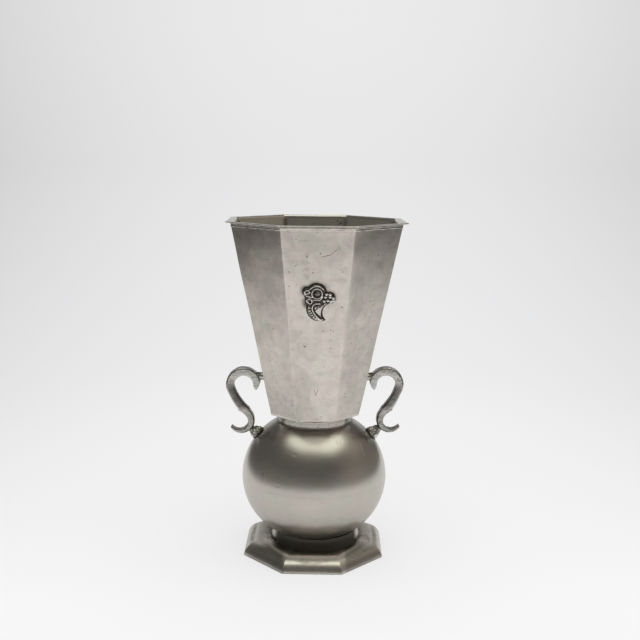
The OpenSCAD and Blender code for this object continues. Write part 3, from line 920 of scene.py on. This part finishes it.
def make_solder(material):
    """A rough bead round the ring's foot, wider at the sides where it ran out on the plinth."""
    shape = skin(bead_rows())
    piece, points = make_piece("foot_solder_bead", shape, material, "foot_solder", 60)
    x, y, z = points.T
    length = np.hypot(x - RING_SHIFT[0], y - RING_SHIFT[1])
    rough = lumpy(points, 2.2, 5)
    lumps = (rough - 0.45) * 0.9 * blend_in(length, 34.5, 31.0) + (rough - 0.55) * 0.25
    z += blend_in(z, DISH_Z - 0.2, DISH_Z) * lumps
    put_points(piece, points)
    # Darker towards the front as painted shade
    front = blend_in(-y, 8, 24)
    paint(piece, patina=0.12 + 0.8 * front + 0.5 * (0.5 - rough), stain=0.25)


def make_plinth(material):
    """The hollow plinth: side, rounded shoulder, shallow dish, vent and underside."""
    side = (
        (45.3, 0.0), (45.55, 0.12), (45.62, 0.35), (45.5, 1.1), (45.2, 2.05), (44.75, 3.0),
        (44.15, 3.95), (43.4, 4.9), (42.55, 5.75), (41.6, 6.55),
    )
    profile = [(half, z, 0.3, 0.0) for half, z in side] + [
        (40.55, 7.25, 0.35, 0.0), (39.45, 7.85, 0.45, 0.0), (38.35, 8.38, 0.6, 0.0),
        (37.5, 8.75, 0.9, 0.05), (36.6, 8.97, 1.4, 0.2), (35.3, 9.05, 2.0, 0.6),
        (DISH_R + 1.2, 8.9, 2.0, 0.9), (DISH_R, DISH_Z + 0.1, 2.0, 1.0),
        (DISH_R - 1, DISH_Z, 2.0, 1.0), (18.0, DISH_Z, 0.0, 1.0),
        (2.3, DISH_Z, 0.0, 1.0), (2.05, DISH_Z - 0.15, 0.0, 1.0), (2.0, 7.0, 0.0, 1.0),
        (20.0, 6.9, 0.0, 1.0), (34.5, 6.9, 2.0, 0.3), (38.5, 6.3, 0.5, 0.0),
        (41.0, 4.6, 0.4, 0.0), (42.6, 2.6, 0.3, 0.0), (43.3, 0.4, 0.3, 0.0), (43.5, 0.0, 0.3, 0.0),
    ]
    shape = skin(rings(resample(profile, PLINTH_STEP), **PLINTH_POINTS))
    piece, points = make_piece("plinth_shell", shape, material, "base_shell", 30)
    wide = np.hypot(points[:, 0], points[:, 1])
    top = blend_in(points[:, 2], 8.3, 8.6)
    free = blend_in(points[:, 2], 0.4, 2.5)
    points = push(piece, free * ripples(points, (0.05, 26, 61), (0.02, 9, 62)))
    residue = near(points, SOLDER_PATCHES, 6.5)
    residue = np.maximum(residue, 0.6 * near(points, SOLDER_PATCHES_LEFT, 5.0)) * top
    rough, grains = lumpy(points, 1.5, 9), lumpy(points, 0.8, 13)
    points[:, 2] += residue * ((rough - 0.45) * 0.35 + (grains - 0.5) * 0.5)
    cosine, sine = math.cos(PLINTH_TURN), math.sin(PLINTH_TURN)
    points[:, :2] = points[:, :2] @ np.array(((cosine, sine), (-sine, cosine)))
    points[:, 2] = np.maximum(points[:, 2], 0)
    put_points(piece, points)
    paint_plinth(piece, points, top, wide, residue, grains)


def paint_plinth(piece, points, top, wide, residue, grains):
    """Painted shade in the dish by the ring, at its front and on the slanting facets, tarnish in the
    solder residue, darker under the edge, and painted highlights along the front shoulder and at the
    ends.
    """
    x, y, z = points.T
    front = blend_in(-y, 18, 27) * blend_in(across(points), 38.6, 37.4)
    near_ring = blend_in(wide, 35.5, 31.5)
    # In the dish: painted shade by the ring and at the front, and tarnish in the solder residue
    dish = top * (0.10 * near_ring + 0.36 * front + residue * np.clip(0.62 - grains, 0, 0.5))
    inside = blend_in(z, DISH_Z, 7.2) * blend_in(wide, 43.6, 42.5)
    # Painted shade on the slanting front facets, most on their shoulder
    slanting = blend_in(np.abs(x), 19, 21) * blend_in(-y, 14, 22)
    slanting *= 0.42 + 0.35 * near_line(z, 7.3, 1.9)
    # A painted highlight along the front shoulder, brighter to the right
    shoulder = near_line(z, 7.4, 1.3) * blend_in(-y, 36, 38) * (0.25 + 0.2 * blend_in(x, 3, 14))
    # The ends: a painted highlight, and less of a mirror
    ends = blend_in(z, 7.6, 8.3) * blend_in(np.abs(x), 28, 34)
    paint(
        piece, patina=np.maximum(dish, inside * 0.4) + blend_in(z, 1.4, 0.2) * 0.5,
        stain=0.05 + 0.06 * ripple(points, 18, 63) + 0.2 * inside,
        dull=0.15 * top * near_ring + 0.1 * residue + slanting,
        worn=np.maximum(shoulder, 0.2 * ends), matt=0.5 * ends,
    )


# Handles, drawn in x and z on the right, in the part's own sizes

CURL = {1: (49.45, 88.58), -1: (48.35, 87.78)}
STUB_Z = 117.38
ARCH = np.array((46.85, 111.88))
ARCH_R = 11.5
ARCH_IN_R = 6.2
LIMB_R = 52.6
LIMB_IN_R = 33.0
SPUR_TIP = (-7.95, -3.25)
SPUR_END = ((-0.75, 0.25), (-0.3, -0.25), (0.35, -0.15), (0.95, 0.5))
CURL_R = 8.6
CURL_IN_R = 5.8
NECK_R = 13.2
BAR_D = 6.3
CURL_D = 6.3
BEVEL = 0.7
ARCH_LIFT = {1: 0.65, -1: 0.1}
VOXEL = 0.24


def polar(centre, radius, degrees):
    return np.array(centre) + radius * unit(math.radians(degrees))


def arc_to(centre, start, end, count):
    """An arc about a centre from one point to another, by the shorter way."""
    first, last = (math.atan2(p[1] - centre[1], p[0] - centre[0]) for p in (start, end))
    turn = (last - first + math.pi) % (2 * math.pi) - math.pi
    r1, r2 = math.dist(centre, start), math.dist(centre, end)
    steps = np.linspace(0, 1, count)
    return [
        (centre[0] + (r1 + (r2 - r1) * s) * math.cos(first + turn * s),
         centre[1] + (r1 + (r2 - r1) * s) * math.sin(first + turn * s)) for s in steps
    ]


def scroll_outlines(arch, curl):
    """Outlines of the upper scroll about its centre arch with its limb, and of the lower scroll."""
    curl_in = curl + (1.5, -0.6)
    low_back = polar(curl, CURL_R, 150)
    low_front = polar(curl_in, CURL_IN_R, 140)
    neck = polar(low_front, NECK_R, 320)
    top_back = low_back + polar((0, 0), 5, 60)
    top_front = polar(neck, NECK_R + 0.9, 112)
    limb = polar(arch, LIMB_R - ARCH_R, 150)
    limb_in = polar(arch, LIMB_IN_R - ARCH_IN_R, 160)
    run_in = polar((0, 0), 1.6, 240)
    upper = arc(arch, ARCH_R, -30, 166, 60)
    upper += [tuple(arch + place) for place in ((-10.6, 0.6), (-9.6, -1.9))]
    upper += [tuple(arch + SPUR_TIP + place) for place in SPUR_END]
    upper.append(tuple(arch + (-6.45, -1.6)))
    upper += arc(arch, ARCH_IN_R, 180, -20, 40)
    upper += arc_to(limb_in, polar(arch, ARCH_IN_R, -20), top_back + run_in * 0.4, 24)[1:]
    upper += arc_to(limb, top_front + run_in, polar(arch, ARCH_R, -30), 24)[:-1]
    lower = arc(curl, CURL_R, 150, 326, 60)
    lower += arc(curl_in, CURL_IN_R, 326, 140, 46)
    lower += arc_to(neck, low_front, polar(neck, NECK_R, 112), 10)[1:]
    lower += [tuple(top_front), tuple(top_back)]
    return upper, lower


def slab(outline, depth, bevel):
    """Vertices and faces of an outline in x and z given a depth along y and rounded edges."""
    flat = np.array(outline)
    ways = []
    for way in (np.roll(flat, -1, 0) - flat, flat - np.roll(flat, 1, 0)):
        ways.append(way / np.maximum(np.linalg.norm(way, axis=1, keepdims=True), 1e-6))
    way = ways[0] + ways[1]
    way /= np.maximum(np.linalg.norm(way, axis=1, keepdims=True), 1e-6)
    inward = np.column_stack((-way[:, 1], way[:, 0]))
    area = np.sum(flat[:, 0] * np.roll(flat[:, 1], -1) - np.roll(flat[:, 0], -1) * flat[:, 1])
    inward *= math.copysign(1, area)
    edge = []
    for share in (1, 0.5, 0):
        angle = share * math.pi / 2
        edge.append((bevel * (1 - math.cos(angle)), depth / 2 - bevel * (1 - math.sin(angle))))
    rows = []
    for inset, y in [(inset, -y) for inset, y in edge] + edge[::-1]:
        ring = flat + inward * inset
        rows.append(np.column_stack((ring[:, 0], np.full(len(flat), y), ring[:, 1])))
    vertices, faces = skin(rows, closed=False)
    faces.append(tuple(range(len(flat) - 1, -1, -1)))
    faces.append(tuple(range(len(vertices) - len(flat), len(vertices))))
    return vertices, faces


def joined(parts):
    vertices, faces = [], []
    for part_vertices, part_faces in parts:
        start = len(vertices)
        vertices += part_vertices
        faces += [tuple(index + start for index in face) for face in part_faces]
    return vertices, faces


def melt(piece, voxel, rounds):
    """Joins a piece's bodies in one skin of fine faces and softens its edges."""
    solid = bmesh.new()
    solid.from_mesh(piece.data)
    bmesh.ops.triangulate(solid, faces=solid.faces)
    bmesh.ops.recalc_face_normals(solid, faces=solid.faces)
    solid.to_mesh(piece.data)
    solid.free()
    remesh = piece.modifiers.new("melt", "REMESH")
    remesh.mode = "VOXEL"
    remesh.voxel_size = voxel * MM
    soften = piece.modifiers.new("soften", "SMOOTH")
    soften.factor = 0.5
    soften.iterations = rounds
    evaluated = piece.evaluated_get(bpy.context.evaluated_depsgraph_get())
    mesh = bpy.data.meshes.new_from_object(evaluated)
    piece.modifiers.clear()
    old, name = piece.data, piece.data.name
    piece.data = mesh
    bpy.data.meshes.remove(old)
    mesh.name = name
    mesh.polygons.foreach_set("use_smooth", [True] * len(mesh.polygons))


def mirrored(points, side):
    points = points.copy()
    points[:, 0] *= side
    return points


def make_casting(kind, shape, material, side, rounds):
    """A melted piece of the right handle, or mirrored of the left one, with its points."""
    word = "right" if side > 0 else "left"
    vertices, faces = shape
    if side < 0:
        vertices = [(-x, y, z) for x, y, z in vertices]
        faces = [tuple(reversed(face)) for face in faces]
    name, node = f"handle_{word}_{kind}", f"{kind}_{word}"
    piece, _ = make_piece(name, (vertices, faces), material, node)
    melt(piece, VOXEL, rounds)
    return piece, points_of(piece)


def limb_shade(right, arch):
    """How dark the limb is: most along its inner edge, from the shoulder down to the neck."""
    x, _, z = right.T
    reach = np.hypot(x - arch[0], z - arch[1])
    angle = np.degrees(np.arctan2(z - arch[1], x - arch[0]))
    limb_in = polar(arch, LIMB_IN_R - ARCH_IN_R, 160)
    below = np.hypot(x - limb_in[0], z - limb_in[1]) - LIMB_IN_R
    from_inner = np.where((angle < -20) & (angle > -150), below, reach - ARCH_IN_R)
    below_arch = blend_in(z, 117, 108.5) * blend_in(z, 93.0, 98.5) * blend_in(x, 41, 44)
    outer = 0.2 * blend_in(from_inner, 1.0, 4.0), 0.6 * blend_in(from_inner, 3.7, 5.0)
    return below_arch * (1 - outer[0] - outer[1])


def make_scroll(material, side):
    arch, curl = ARCH + (0, ARCH_LIFT[side]), np.array(CURL[side])
    upper, lower = scroll_outlines(arch, curl)
    shape = joined((slab(upper, BAR_D, BEVEL), slab(lower, CURL_D, BEVEL)))
    piece, points = make_casting("scroll", shape, material, side, 3)
    low = blend_in(points[:, 2], 97, 93)
    pocks = blend_in(lumpy(points, 2.6, 7 + side), 0.62, 0.85)
    pocks = np.maximum(pocks, low * blend_in(lumpy(points, 1.5, 17 + side), 0.55, 0.8))
    push(piece, ripples(points, (0.07, 9, 70 + side), (0.03, 2.5, 72 + side)) - 0.12 * pocks)
    right = mirrored(points, side)
    x, y, z = right.T
    reach = np.hypot(x - arch[0], z - arch[1])
    rim = near_line(reach, 10.75, 0.45) * blend_in(-y, 2.2, 2.8) * blend_in(z, 108, 114)
    from_curl = np.hypot(x - curl[0], z - curl[1])
    back_edge = blend_in(from_curl, CURL_R - 1.3, CURL_R - 0.5) * blend_in(-y, 1.9, 2.6)
    back_edge *= blend_in(x, curl[0] + 2, curl[0] - 2)
    speckle = 0.55 * low * blend_in(lumpy(points, 1.2, 23), 0.4, 0.62) * (side > 0)
    mottle = 0.05 * (1 + ripple(points, 4, 75)) + (0.35 + 0.25 * low) * pocks + speckle
    behind = (1 - blend_in(-y, 1.5, 2.8)) * 0.05
    darkest = 1.0 if side < 0 else 0.9
    # Painted shade down the limb, and darker towards the bottom
    paint(
        piece, patina=0.7 * rim + 0.6 * back_edge * low + mottle + behind,
        stain=0.06 + 0.05 * ripple(points, 8, 76),
        dull=np.maximum(darkest * limb_shade(right, arch), 0.42 * blend_in(z, 97, 91)),
    )


def turned_body(profile, count=56):
    """Vertices and faces of a body turned about x, its profile given as (radius, x)."""
    rows = [np.column_stack((np.full(count, x), circle_of(radius, count))) for radius, x in profile]
    return skin(rows, closed=False, ends=True)


def make_stub(material, side):
    """The short peg between the cup's wall and the scroll, flared where it is soldered on."""
    start = cup_half(STUB_Z)
    profile = ((3.9, -1.2), (3.5, 0.1), (2.9, 0.7), (2.6, 1.3), (2.5, 2.2), (2.55, 3.4), (2.75, 4.6),
               (2.6, 5.4))
    vertices, faces = turned_body([(radius, start + out) for radius, out in profile])
    shape = [(x, y, z + STUB_Z) for x, y, z in vertices], faces
    piece, points = make_casting("stub", shape, material, side, 2)
    push(piece, ripples(points, (0.10, 3.5, 80 + side), (0.05, 1.5, 82 + side)))
    x, _, z = mirrored(points, side).T
    above = blend_in(z, STUB_Z + 1.5, STUB_Z + 2.3)
    roots = blend_in(np.abs(x - start - 2.4), 1.2, 2.2)
    dark = 0.05 + 0.7 * above + 0.25 * roots * blend_in(z, STUB_Z, STUB_Z + 1.5)
    paint(piece, patina=dark, stain=0.05)


def make_boss(material, side):
    """The lump of solder that carries the scroll's curl on the ball."""
    start = np.array((BALL_SPREAD, BALL_Z))
    line = CURL[side] - start
    length = np.linalg.norm(line)
    tall = length - BALL_R - CURL_R
    profile = [(4.6, -0.7), (4.85, 0.2), (4.75, 1.2), (4.4, 2.4), (3.9, 3.6), (3.3, 4.7),
               (2.8, tall - 0.3), (2.4, tall + 0.9)]
    vertices, faces = turned_body(profile)
    way = line / length
    base = start + way * BALL_R
    tilt = Matrix.Rotation(-math.atan2(line[1], line[0]), 4, "Y")
    matrix = Matrix.Translation((base[0], 0, base[1])) @ tilt
    shape = [tuple(matrix @ Vector(vertex)) for vertex in vertices], faces
    piece, points = make_casting("boss", shape, material, side, 2)
    folds = lumpy(points, 4.2, 11 + side)
    push(piece, (folds - 0.5) * 0.8 + 0.05 * ripple(points, 1.6, 90 + side))
    low = blend_in((mirrored(points, side)[:, [0, 2]] - base) @ way, 0.9, 0.1)
    paint(piece, patina=0.55 * low + 0.5 * blend_in(folds, 0.36, 0.24), stain=0.05)


# Ornament: a horn of plenty in relief over the front facet. Its u and v run right and up from its
# middle, in millimetres along the facet

ORN_X = 1.1
ORN_Z = 173.68
RELIEF_STEP = 0.13
RELIEF_BACK = 0.3
FRUIT = (-0.85, 6.0)
CLUSTER = (6.1, 2.9, 3.3)
PLATE_T = 0.75
BACKING = (
    (-1.35, 6.2, 6.0), (-7.0, 6.9, 2.9), (6.1, 2.9, 3.78), (-5.1, 0.9, 3.1), (-6.3, 3.6, 2.2),
    (-1.5, 0.0, 4.0), (1.4, 0.9, 3.6),
)
HORN_EDGE = (0.475, -4.2, 7.84)
HORN_BACK = (5.03, -1.07, 9.5)
HORN_CUT = (8.5, -6.65, 6.35)
# Raised lines: points, half width, height above the plate
RIBS = (
    (((-9.0, 5.5), (-7.6, 4.5), (-6.2, 3.9), (-4.6, 3.4), (-3.3, 3.9)), 0.50, 0.75),
    (((-4.0, 1.3), (-2.0, 1.8), (0.3, 1.5), (1.5, 2.4), (2.2, 4.0)), 0.45, 0.70),
    (((-7.6, 1.4), (-5.7, 2.8), (-3.8, 1.2), (-5.1, -1.1), (-7.6, 1.4)), 0.52, 0.80),
    (((0.8, -0.6), (-1.6, -0.5), (-3.5, -1.4), (-4.1, -3.4), (-3.2, -6.2), (-1.0, -9.1), (1.6, -11.0),
      (3.4, -11.3)), 0.50, 0.95),
)
BERRIES = (
    (4.5, 5.6), (6.7, 5.35), (3.95, 3.8), (6.7, 3.85), (8.5, 3.1), (3.15, 1.2), (5.4, 1.6),
    (7.3, 1.15), (8.75, 1.6), (4.0, -0.6), (6.75, -0.25),
)
PEARLS = (
    (-5.4, -3.2), (-5.25, -5.0), (-4.65, -6.55), (-3.8, -7.8), (-2.8, -8.85), (-1.65, -9.8),
    (-0.4, -10.6), (1.0, -11.25),
)


def oval(u, v, middle, wide=1.0, tall=1.0):
    """How far each place is from a middle, in shares of an oval's half sizes."""
    return np.hypot((u - middle[0]) / wide, (v - middle[1]) / tall)


def disc(u, v, about):
    """Signed distance to a disc, negative inside."""
    return oval(u, v, about) - about[2]


def swell(distance, height, edge):
    """A plate's height: 0 outside its outline, rounding up to full height at an edge inside."""
    share = np.clip(-distance / edge, 0, 1)
    return height * np.sqrt(1 - (1 - share) ** 2)


def rib(distance, width, height, base=PLATE_T):
    """A rounded rib along a line of distance 0."""
    share = np.clip(1 - (distance / width) ** 2, 0, None)
    return np.where(share > 0, base + height * share ** 0.3, 0)


def bead(u, v, middle, radius, base, height=1.0):
    share = np.clip(radius ** 2 - (u - middle[0]) ** 2 - (v - middle[1]) ** 2, 0, None)
    return np.where(share > 0, base + height * np.sqrt(share), 0)


def line_distance(u, v, points):
    """Distance from each place to a line through points."""
    best = np.full(u.shape, np.inf)
    for (u0, v0), (u1, v1) in zip(points, points[1:]):
        du, dv = u1 - u0, v1 - v0
        share = np.clip(((u - u0) * du + (v - v0) * dv) / (du * du + dv * dv), 0, 1)
        best = np.minimum(best, np.hypot(u - u0 - share * du, v - v0 - share * dv))
    return best


def rounded(points, rounds=2):
    """A line with its bends cut off, again and again, so that it curves."""
    for _ in range(rounds):
        cut = [points[0]]
        for (u0, v0), (u1, v1) in zip(points, points[1:]):
            for first, last in ((0.75, 0.25), (0.25, 0.75)):
                cut.append((u0 * first + u1 * last, v0 * first + v1 * last))
        points = cut + [points[-1]]
    return points


def relief_outline(u, v):
    lower = np.maximum.reduce([disc(u, v, HORN_EDGE), v + 0.75, -disc(u, v, HORN_CUT)])
    return np.minimum.reduce([disc(u, v, about) for about in BACKING] + [lower])


def horn_body(u, v):
    """Signed distance to the horn's raised body, and where it falls off towards its mouth."""
    body = np.maximum.reduce([
        disc(u, v, HORN_EDGE), disc(u, v, HORN_BACK) + 0.6, 0.5 - disc(u, v, HORN_CUT), v + 1.05])
    body = np.maximum(body, 0.7 - line_distance(u, v, RIBS[3][0]))
    return body, blend_in((u - 0.35) * -0.78 + (v + 1.95) * 0.62, -0.1, 0.4)


def relief_heights(u, v):
    """The relief's heights and outline, the horn's mouth and its body."""
    outline = relief_outline(u, v)
    layers = [swell(outline, PLATE_T, 0.45)]
    layers += [rib(line_distance(u, v, rounded(points)), wide, high) for points, wide, high in RIBS]
    hood = rib(disc(u, v, (-1.35, 5.35, 5.1)), 0.5, 0.8)
    ring = (oval(u, v, (-1.1, 5.75), 3.1, 3.0) - 1) * 3.2
    curl = (oval(u, v, (-7.1, 6.6), 1.45, 1.0) - 1) * 1.2
    layers += [
        hood * blend_in(v, 6.6, 8.6), rib(ring, 0.5, 0.95), rib(curl, 0.42, 0.75),
        bead(u, v, FRUIT, 2.0, PLATE_T, 0.85), swell(disc(u, v, CLUSTER), 1.1, 0.6),
    ]
    layers += [bead(u, v, berry, 1.02, 1.2, 0.9) for berry in BERRIES]
    body, mouth_side = horn_body(u, v)
    layers.append(swell(body, 1.95, 2.0) * (1 - 0.32 * mouth_side))
    border = np.abs(disc(u, v, HORN_EDGE) + 1.05)
    layers.append(rib(border, 0.55, 0.36) * ((v < -1.2) & (u < 3.2)))
    layers += [bead(u, v, pearl, 0.72, 0.8, 1.1) for pearl in PEARLS]
    heights = np.where(outline < 0, np.maximum.reduce(layers), 0)
    return heights, outline, mouth_side * (body < 0), body < 0


def blurred(field, radius):
    """A field averaged over squares twice, as a quick soft blur."""
    for axis in (0, 1, 0, 1):
        stack = [np.roll(field, shift, axis) for shift in range(-radius, radius + 1)]
        field = np.mean(stack, axis=0)
    return field


def grid_faces(keep):
    """Numbers for the kept points of a grid, its faces, and its edges that border one face."""
    quads = keep[:-1, :-1] & keep[1:, :-1] & keep[:-1, 1:] & keep[1:, 1:]
    used = np.zeros(keep.shape, bool)
    for rows in (slice(0, -1), slice(1, None)):
        for cols in (slice(0, -1), slice(1, None)):
            used[rows, cols] |= quads
    number = -np.ones(keep.shape, int)
    number[used] = np.arange(used.sum())
    faces, edges = [], {}
    for row, col in zip(*np.nonzero(quads)):
        face = (number[row, col], number[row, col + 1], number[row + 1, col + 1], number[row + 1, col])
        faces.append(face)
        for pair in zip(face, face[1:] + face[:1]):
            key = tuple(sorted(pair))
            edges[key] = None if key in edges else pair
    return used, faces, [pair for pair in edges.values() if pair]


def relief_skin(used, faces, edges, u, v, heights):
    """The relief's front, back and edge as vertices and faces, with its front points."""
    lean = math.atan(LEAN)
    up = np.array((0, -math.sin(lean), math.cos(lean)))
    out = np.array((0, -math.cos(lean), -math.sin(lean)))
    flat = np.array((ORN_X, -cup_half(ORN_Z), ORN_Z)) + u[used][:, None] * np.array((1, 0, 0))
    flat = flat + v[used][:, None] * up
    front = flat + heights[used][:, None] * out
    total = len(front)
    backs = [tuple(index + total for index in reversed(face)) for face in faces]
    walls = [(b, a, a + total, b + total) for a, b in edges]
    vertices = [tuple(point) for point in np.concatenate((front, flat - RELIEF_BACK * out))]
    return (vertices, faces + backs + walls), front


def spots_at(u, v, places, inner, outer, wide=1.0, tall=1.0):
    """1 on an oval at each place, falling to 0 between two shares of its half sizes."""
    spots = [1 - blend_in(oval(u, v, place, wide, tall), inner, outer) for place in places]
    return np.max(spots, axis=0)


def make_ornament(material):
    us = np.arange(-11.5, 11.6, RELIEF_STEP)
    vs = np.arange(-13.5, 13.6, RELIEF_STEP)
    u, v = np.meshgrid(us, vs)
    heights, outline, mouth, body = relief_heights(u, v)
    heights = np.maximum(blurred(heights, 1), 0)
    hollow = blurred(heights, 6) - heights
    heights = np.where(outline < 0.15, heights, -0.15)
    used, faces, edges = grid_faces(outline < 0.3)
    shape, front = relief_skin(used, faces, edges, u, v, heights)
    piece, _ = make_piece("horn_of_plenty", shape, material, "ornament", 75)
    u, v, outline, mouth = u[used], v[used], outline[used], mouth[used]
    # Tarnish with painted shade in the hollows and low places
    cavity = blend_in(hollow[used], -0.06, 0.24)
    low = blend_in(heights[used], 1.25, 0.98)
    cluster = blend_in(disc(u, v, (6.1, 2.9, 3.6)), 0.3, -0.1)
    berry = spots_at(u, v, BERRIES, 0.75, 1.0, 1.2, 0.85)
    fruit = spots_at(u, v, [FRUIT], 1.8, 2.3)
    # A painted highlight on the fruit
    glint = spots_at(u, v, [(-0.8, 6.9)], 0.25, 0.8)
    hole = spots_at(u, v, [(-5.15, 0.7)], 0.6, 1.1)
    rim = 0.35 + 0.6 * blend_in(v, 6, 9)
    contour = 1 - blend_in(-outline, rim, rim + 0.35)
    # Among these, the horn's mouth is darker as painted shade
    patina = np.maximum.reduce(
        [cavity * 0.95, low, fruit * 0.8 - 0.35 * glint, hole, contour, mouth * 0.3])
    patina = patina * (1 - cluster) + cluster * np.where(outline < 0, 1.0 - berry, 1)
    pearl = spots_at(u, v, PEARLS[:5], 0.5, 0.75)
    patina = np.minimum(patina, 1 - pearl) + 0.05 * ripple(front, 2.2, 95)
    bare_back = np.zeros(len(front))
    # Painted shade over the horn's body away from its mouth, and painted highlights on the berries
    paint(
        piece, patina=np.concatenate((patina, bare_back + 1)), stain=0.05,
        dull=np.concatenate((0.34 * body[used] * (1 - mouth), bare_back)),
        worn=np.concatenate((0.9 * cluster * berry, bare_back)),
    )


# Marks that show in the photograph, in millimetres: scratches by their ends, pits by their middles


def marks_mm(**kinds):
    """Marks in metres as (kind, places..., size), from each kind's places and sizes in millimetres."""
    return [
        (kind, *(tuple(c * MM for c in place) for place in places), size * MM)
        for kind, group in kinds.items() for *places, size in group
    ]


CUP_LINES = (
    ((1.7, -33.0, 117.5), (-0.1, -32.0, 112.7), 0.26),
    ((-0.9, -32.8, 116.7), (-0.1, -32.2, 113.6), 0.22),
    ((-13.6, -31.8, 111.8), (-11.7, -29.7, 100.9), 0.14),
    ((-21.3, -23.6, 111.2), (-18.1, -25.6, 106.9), 0.2),
    ((2.6, -49.7, 201.5), (7.3, -50.0, 202.7), 0.3),
    ((7.3, -50.0, 202.7), (11.9, -50.7, 206.4), 0.2),
    ((11.9, -51.0, 208.2), (13.4, -50.6, 206.1), 0.15),
    ((46.9, -20.0, 189.3), (45.9, -19.9, 185.5), 0.28),
    ((37.1, -31.7, 196.2), (41.5, -25.3, 189.3), 0.16),
    ((-9.0, -51.6, 211.2), (6.0, -51.9, 212.2), 0.10),
    ((27.3, -17.7, 111.6), (25.4, -20.0, 112.8), 0.2),
    ((-28.6, -28.3, 153.6), (-26.2, -30.8, 155.0), 0.2),
)
CUP_SPOTS = (
    ((42.9, -31.1, 214.4), 0.5), ((44.2, -29.9, 215.0), 0.45), ((45.6, -28.1, 213.6), 0.35),
    ((40.1, -34.2, 215.9), 0.5), ((48.9, -25.3, 215.2), 0.45), ((-31.0, -38.6, 198.8), 0.45),
    ((-29.4, -40.1, 198.7), 0.35), ((-31.5, -26.2, 156.7), 0.45), ((-29.4, -28.4, 157.1), 0.4),
    ((-12.7, -51.8, 212.1), 0.4), ((-10.4, -51.6, 210.9), 0.35), ((-9.4, -40.4, 154.8), 0.35),
    ((8.4, -37.9, 142.0), 0.35), ((-8.0, -34.4, 124.7), 0.35), ((4.9, -35.9, 132.1), 0.35),
    ((26.7, -42.3, 196.7), 0.4), ((22.1, -32.3, 145.3), 0.4),
)
# A light streak painted on the ball where it mirrors the right handle: a painted reflection
BALL_GLINTS = (
    ((27.1, -19.5, 82.1), (29.5, -23.65, 77.75), 0.5),
    ((29.5, -23.65, 77.75), (31.3, -27.3, 72.7), 0.45),
)
PLINTH_SPECKS = (((-37.1, -11.9, 8.9), 0.9),)


def make_vase():
    # The lip, the bosses and the relief are paler copies of the pewter, as painted light, and the
    # relief's dark is deeper, as painted shade
    sheet = pewter(
        "pewter_sheet", tone=(0.71, 0.667, 0.628), marks=marks_mm(line=CUP_LINES, spot=CUP_SPOTS))
    lip = pewter("pewter_lip", tone=(0.74, 0.70, 0.66), rough=0.2, swirl=0.5)
    spun = pewter(
        "pewter_spun", tone=(0.59, 0.562, 0.53), rough=0.28, swirl=0.25, pits=0.05, grain=0.45,
        spun=0.35, marks=marks_mm(glint=BALL_GLINTS))
    cast = pewter("pewter_cast", tone=(0.70, 0.69, 0.675), rough=0.36, swirl=0.8)
    base = pewter(
        "pewter_base", tone=(0.74, 0.71, 0.665), rough=0.3, swirl=0.4,
        marks=marks_mm(speck=PLINTH_SPECKS))
    collar = pewter("pewter_collar", tone=(0.58, 0.565, 0.52), rough=0.3, swirl=0.8)
    boss = pewter("pewter_boss", tone=(0.80, 0.78, 0.755), rough=0.3, swirl=0.6, pits=0.3)
    solder = pewter("pewter_solder", tone=(0.50, 0.47, 0.41), rough=0.38, swirl=1.2)
    relief = pewter(
        "pewter_relief", tone=(0.90, 0.87, 0.83), rough=0.22, swirl=0.3, pits=0.0,
        tarnish_and_shade=(0.028, 0.025, 0.02))
    for make, material in (
        (make_cup_wall, sheet), (make_lip, lip), (make_cup_floor, sheet), (make_collar, collar),
        (make_ball_upper, spun), (make_ball_lower, spun), (make_foot_ring, base),
        (make_solder, solder), (make_plinth, base),
    ):
        make(material)
    for make, material in ((make_scroll, cast), (make_stub, cast), (make_boss, boss)):
        for side in (1, -1):
            make(material, side)
    make_ornament(relief)


make_camera()
bpy.context.scene.view_settings.view_transform = "Standard"
make_world()
make_floor()
make_lamps()
make_vase()
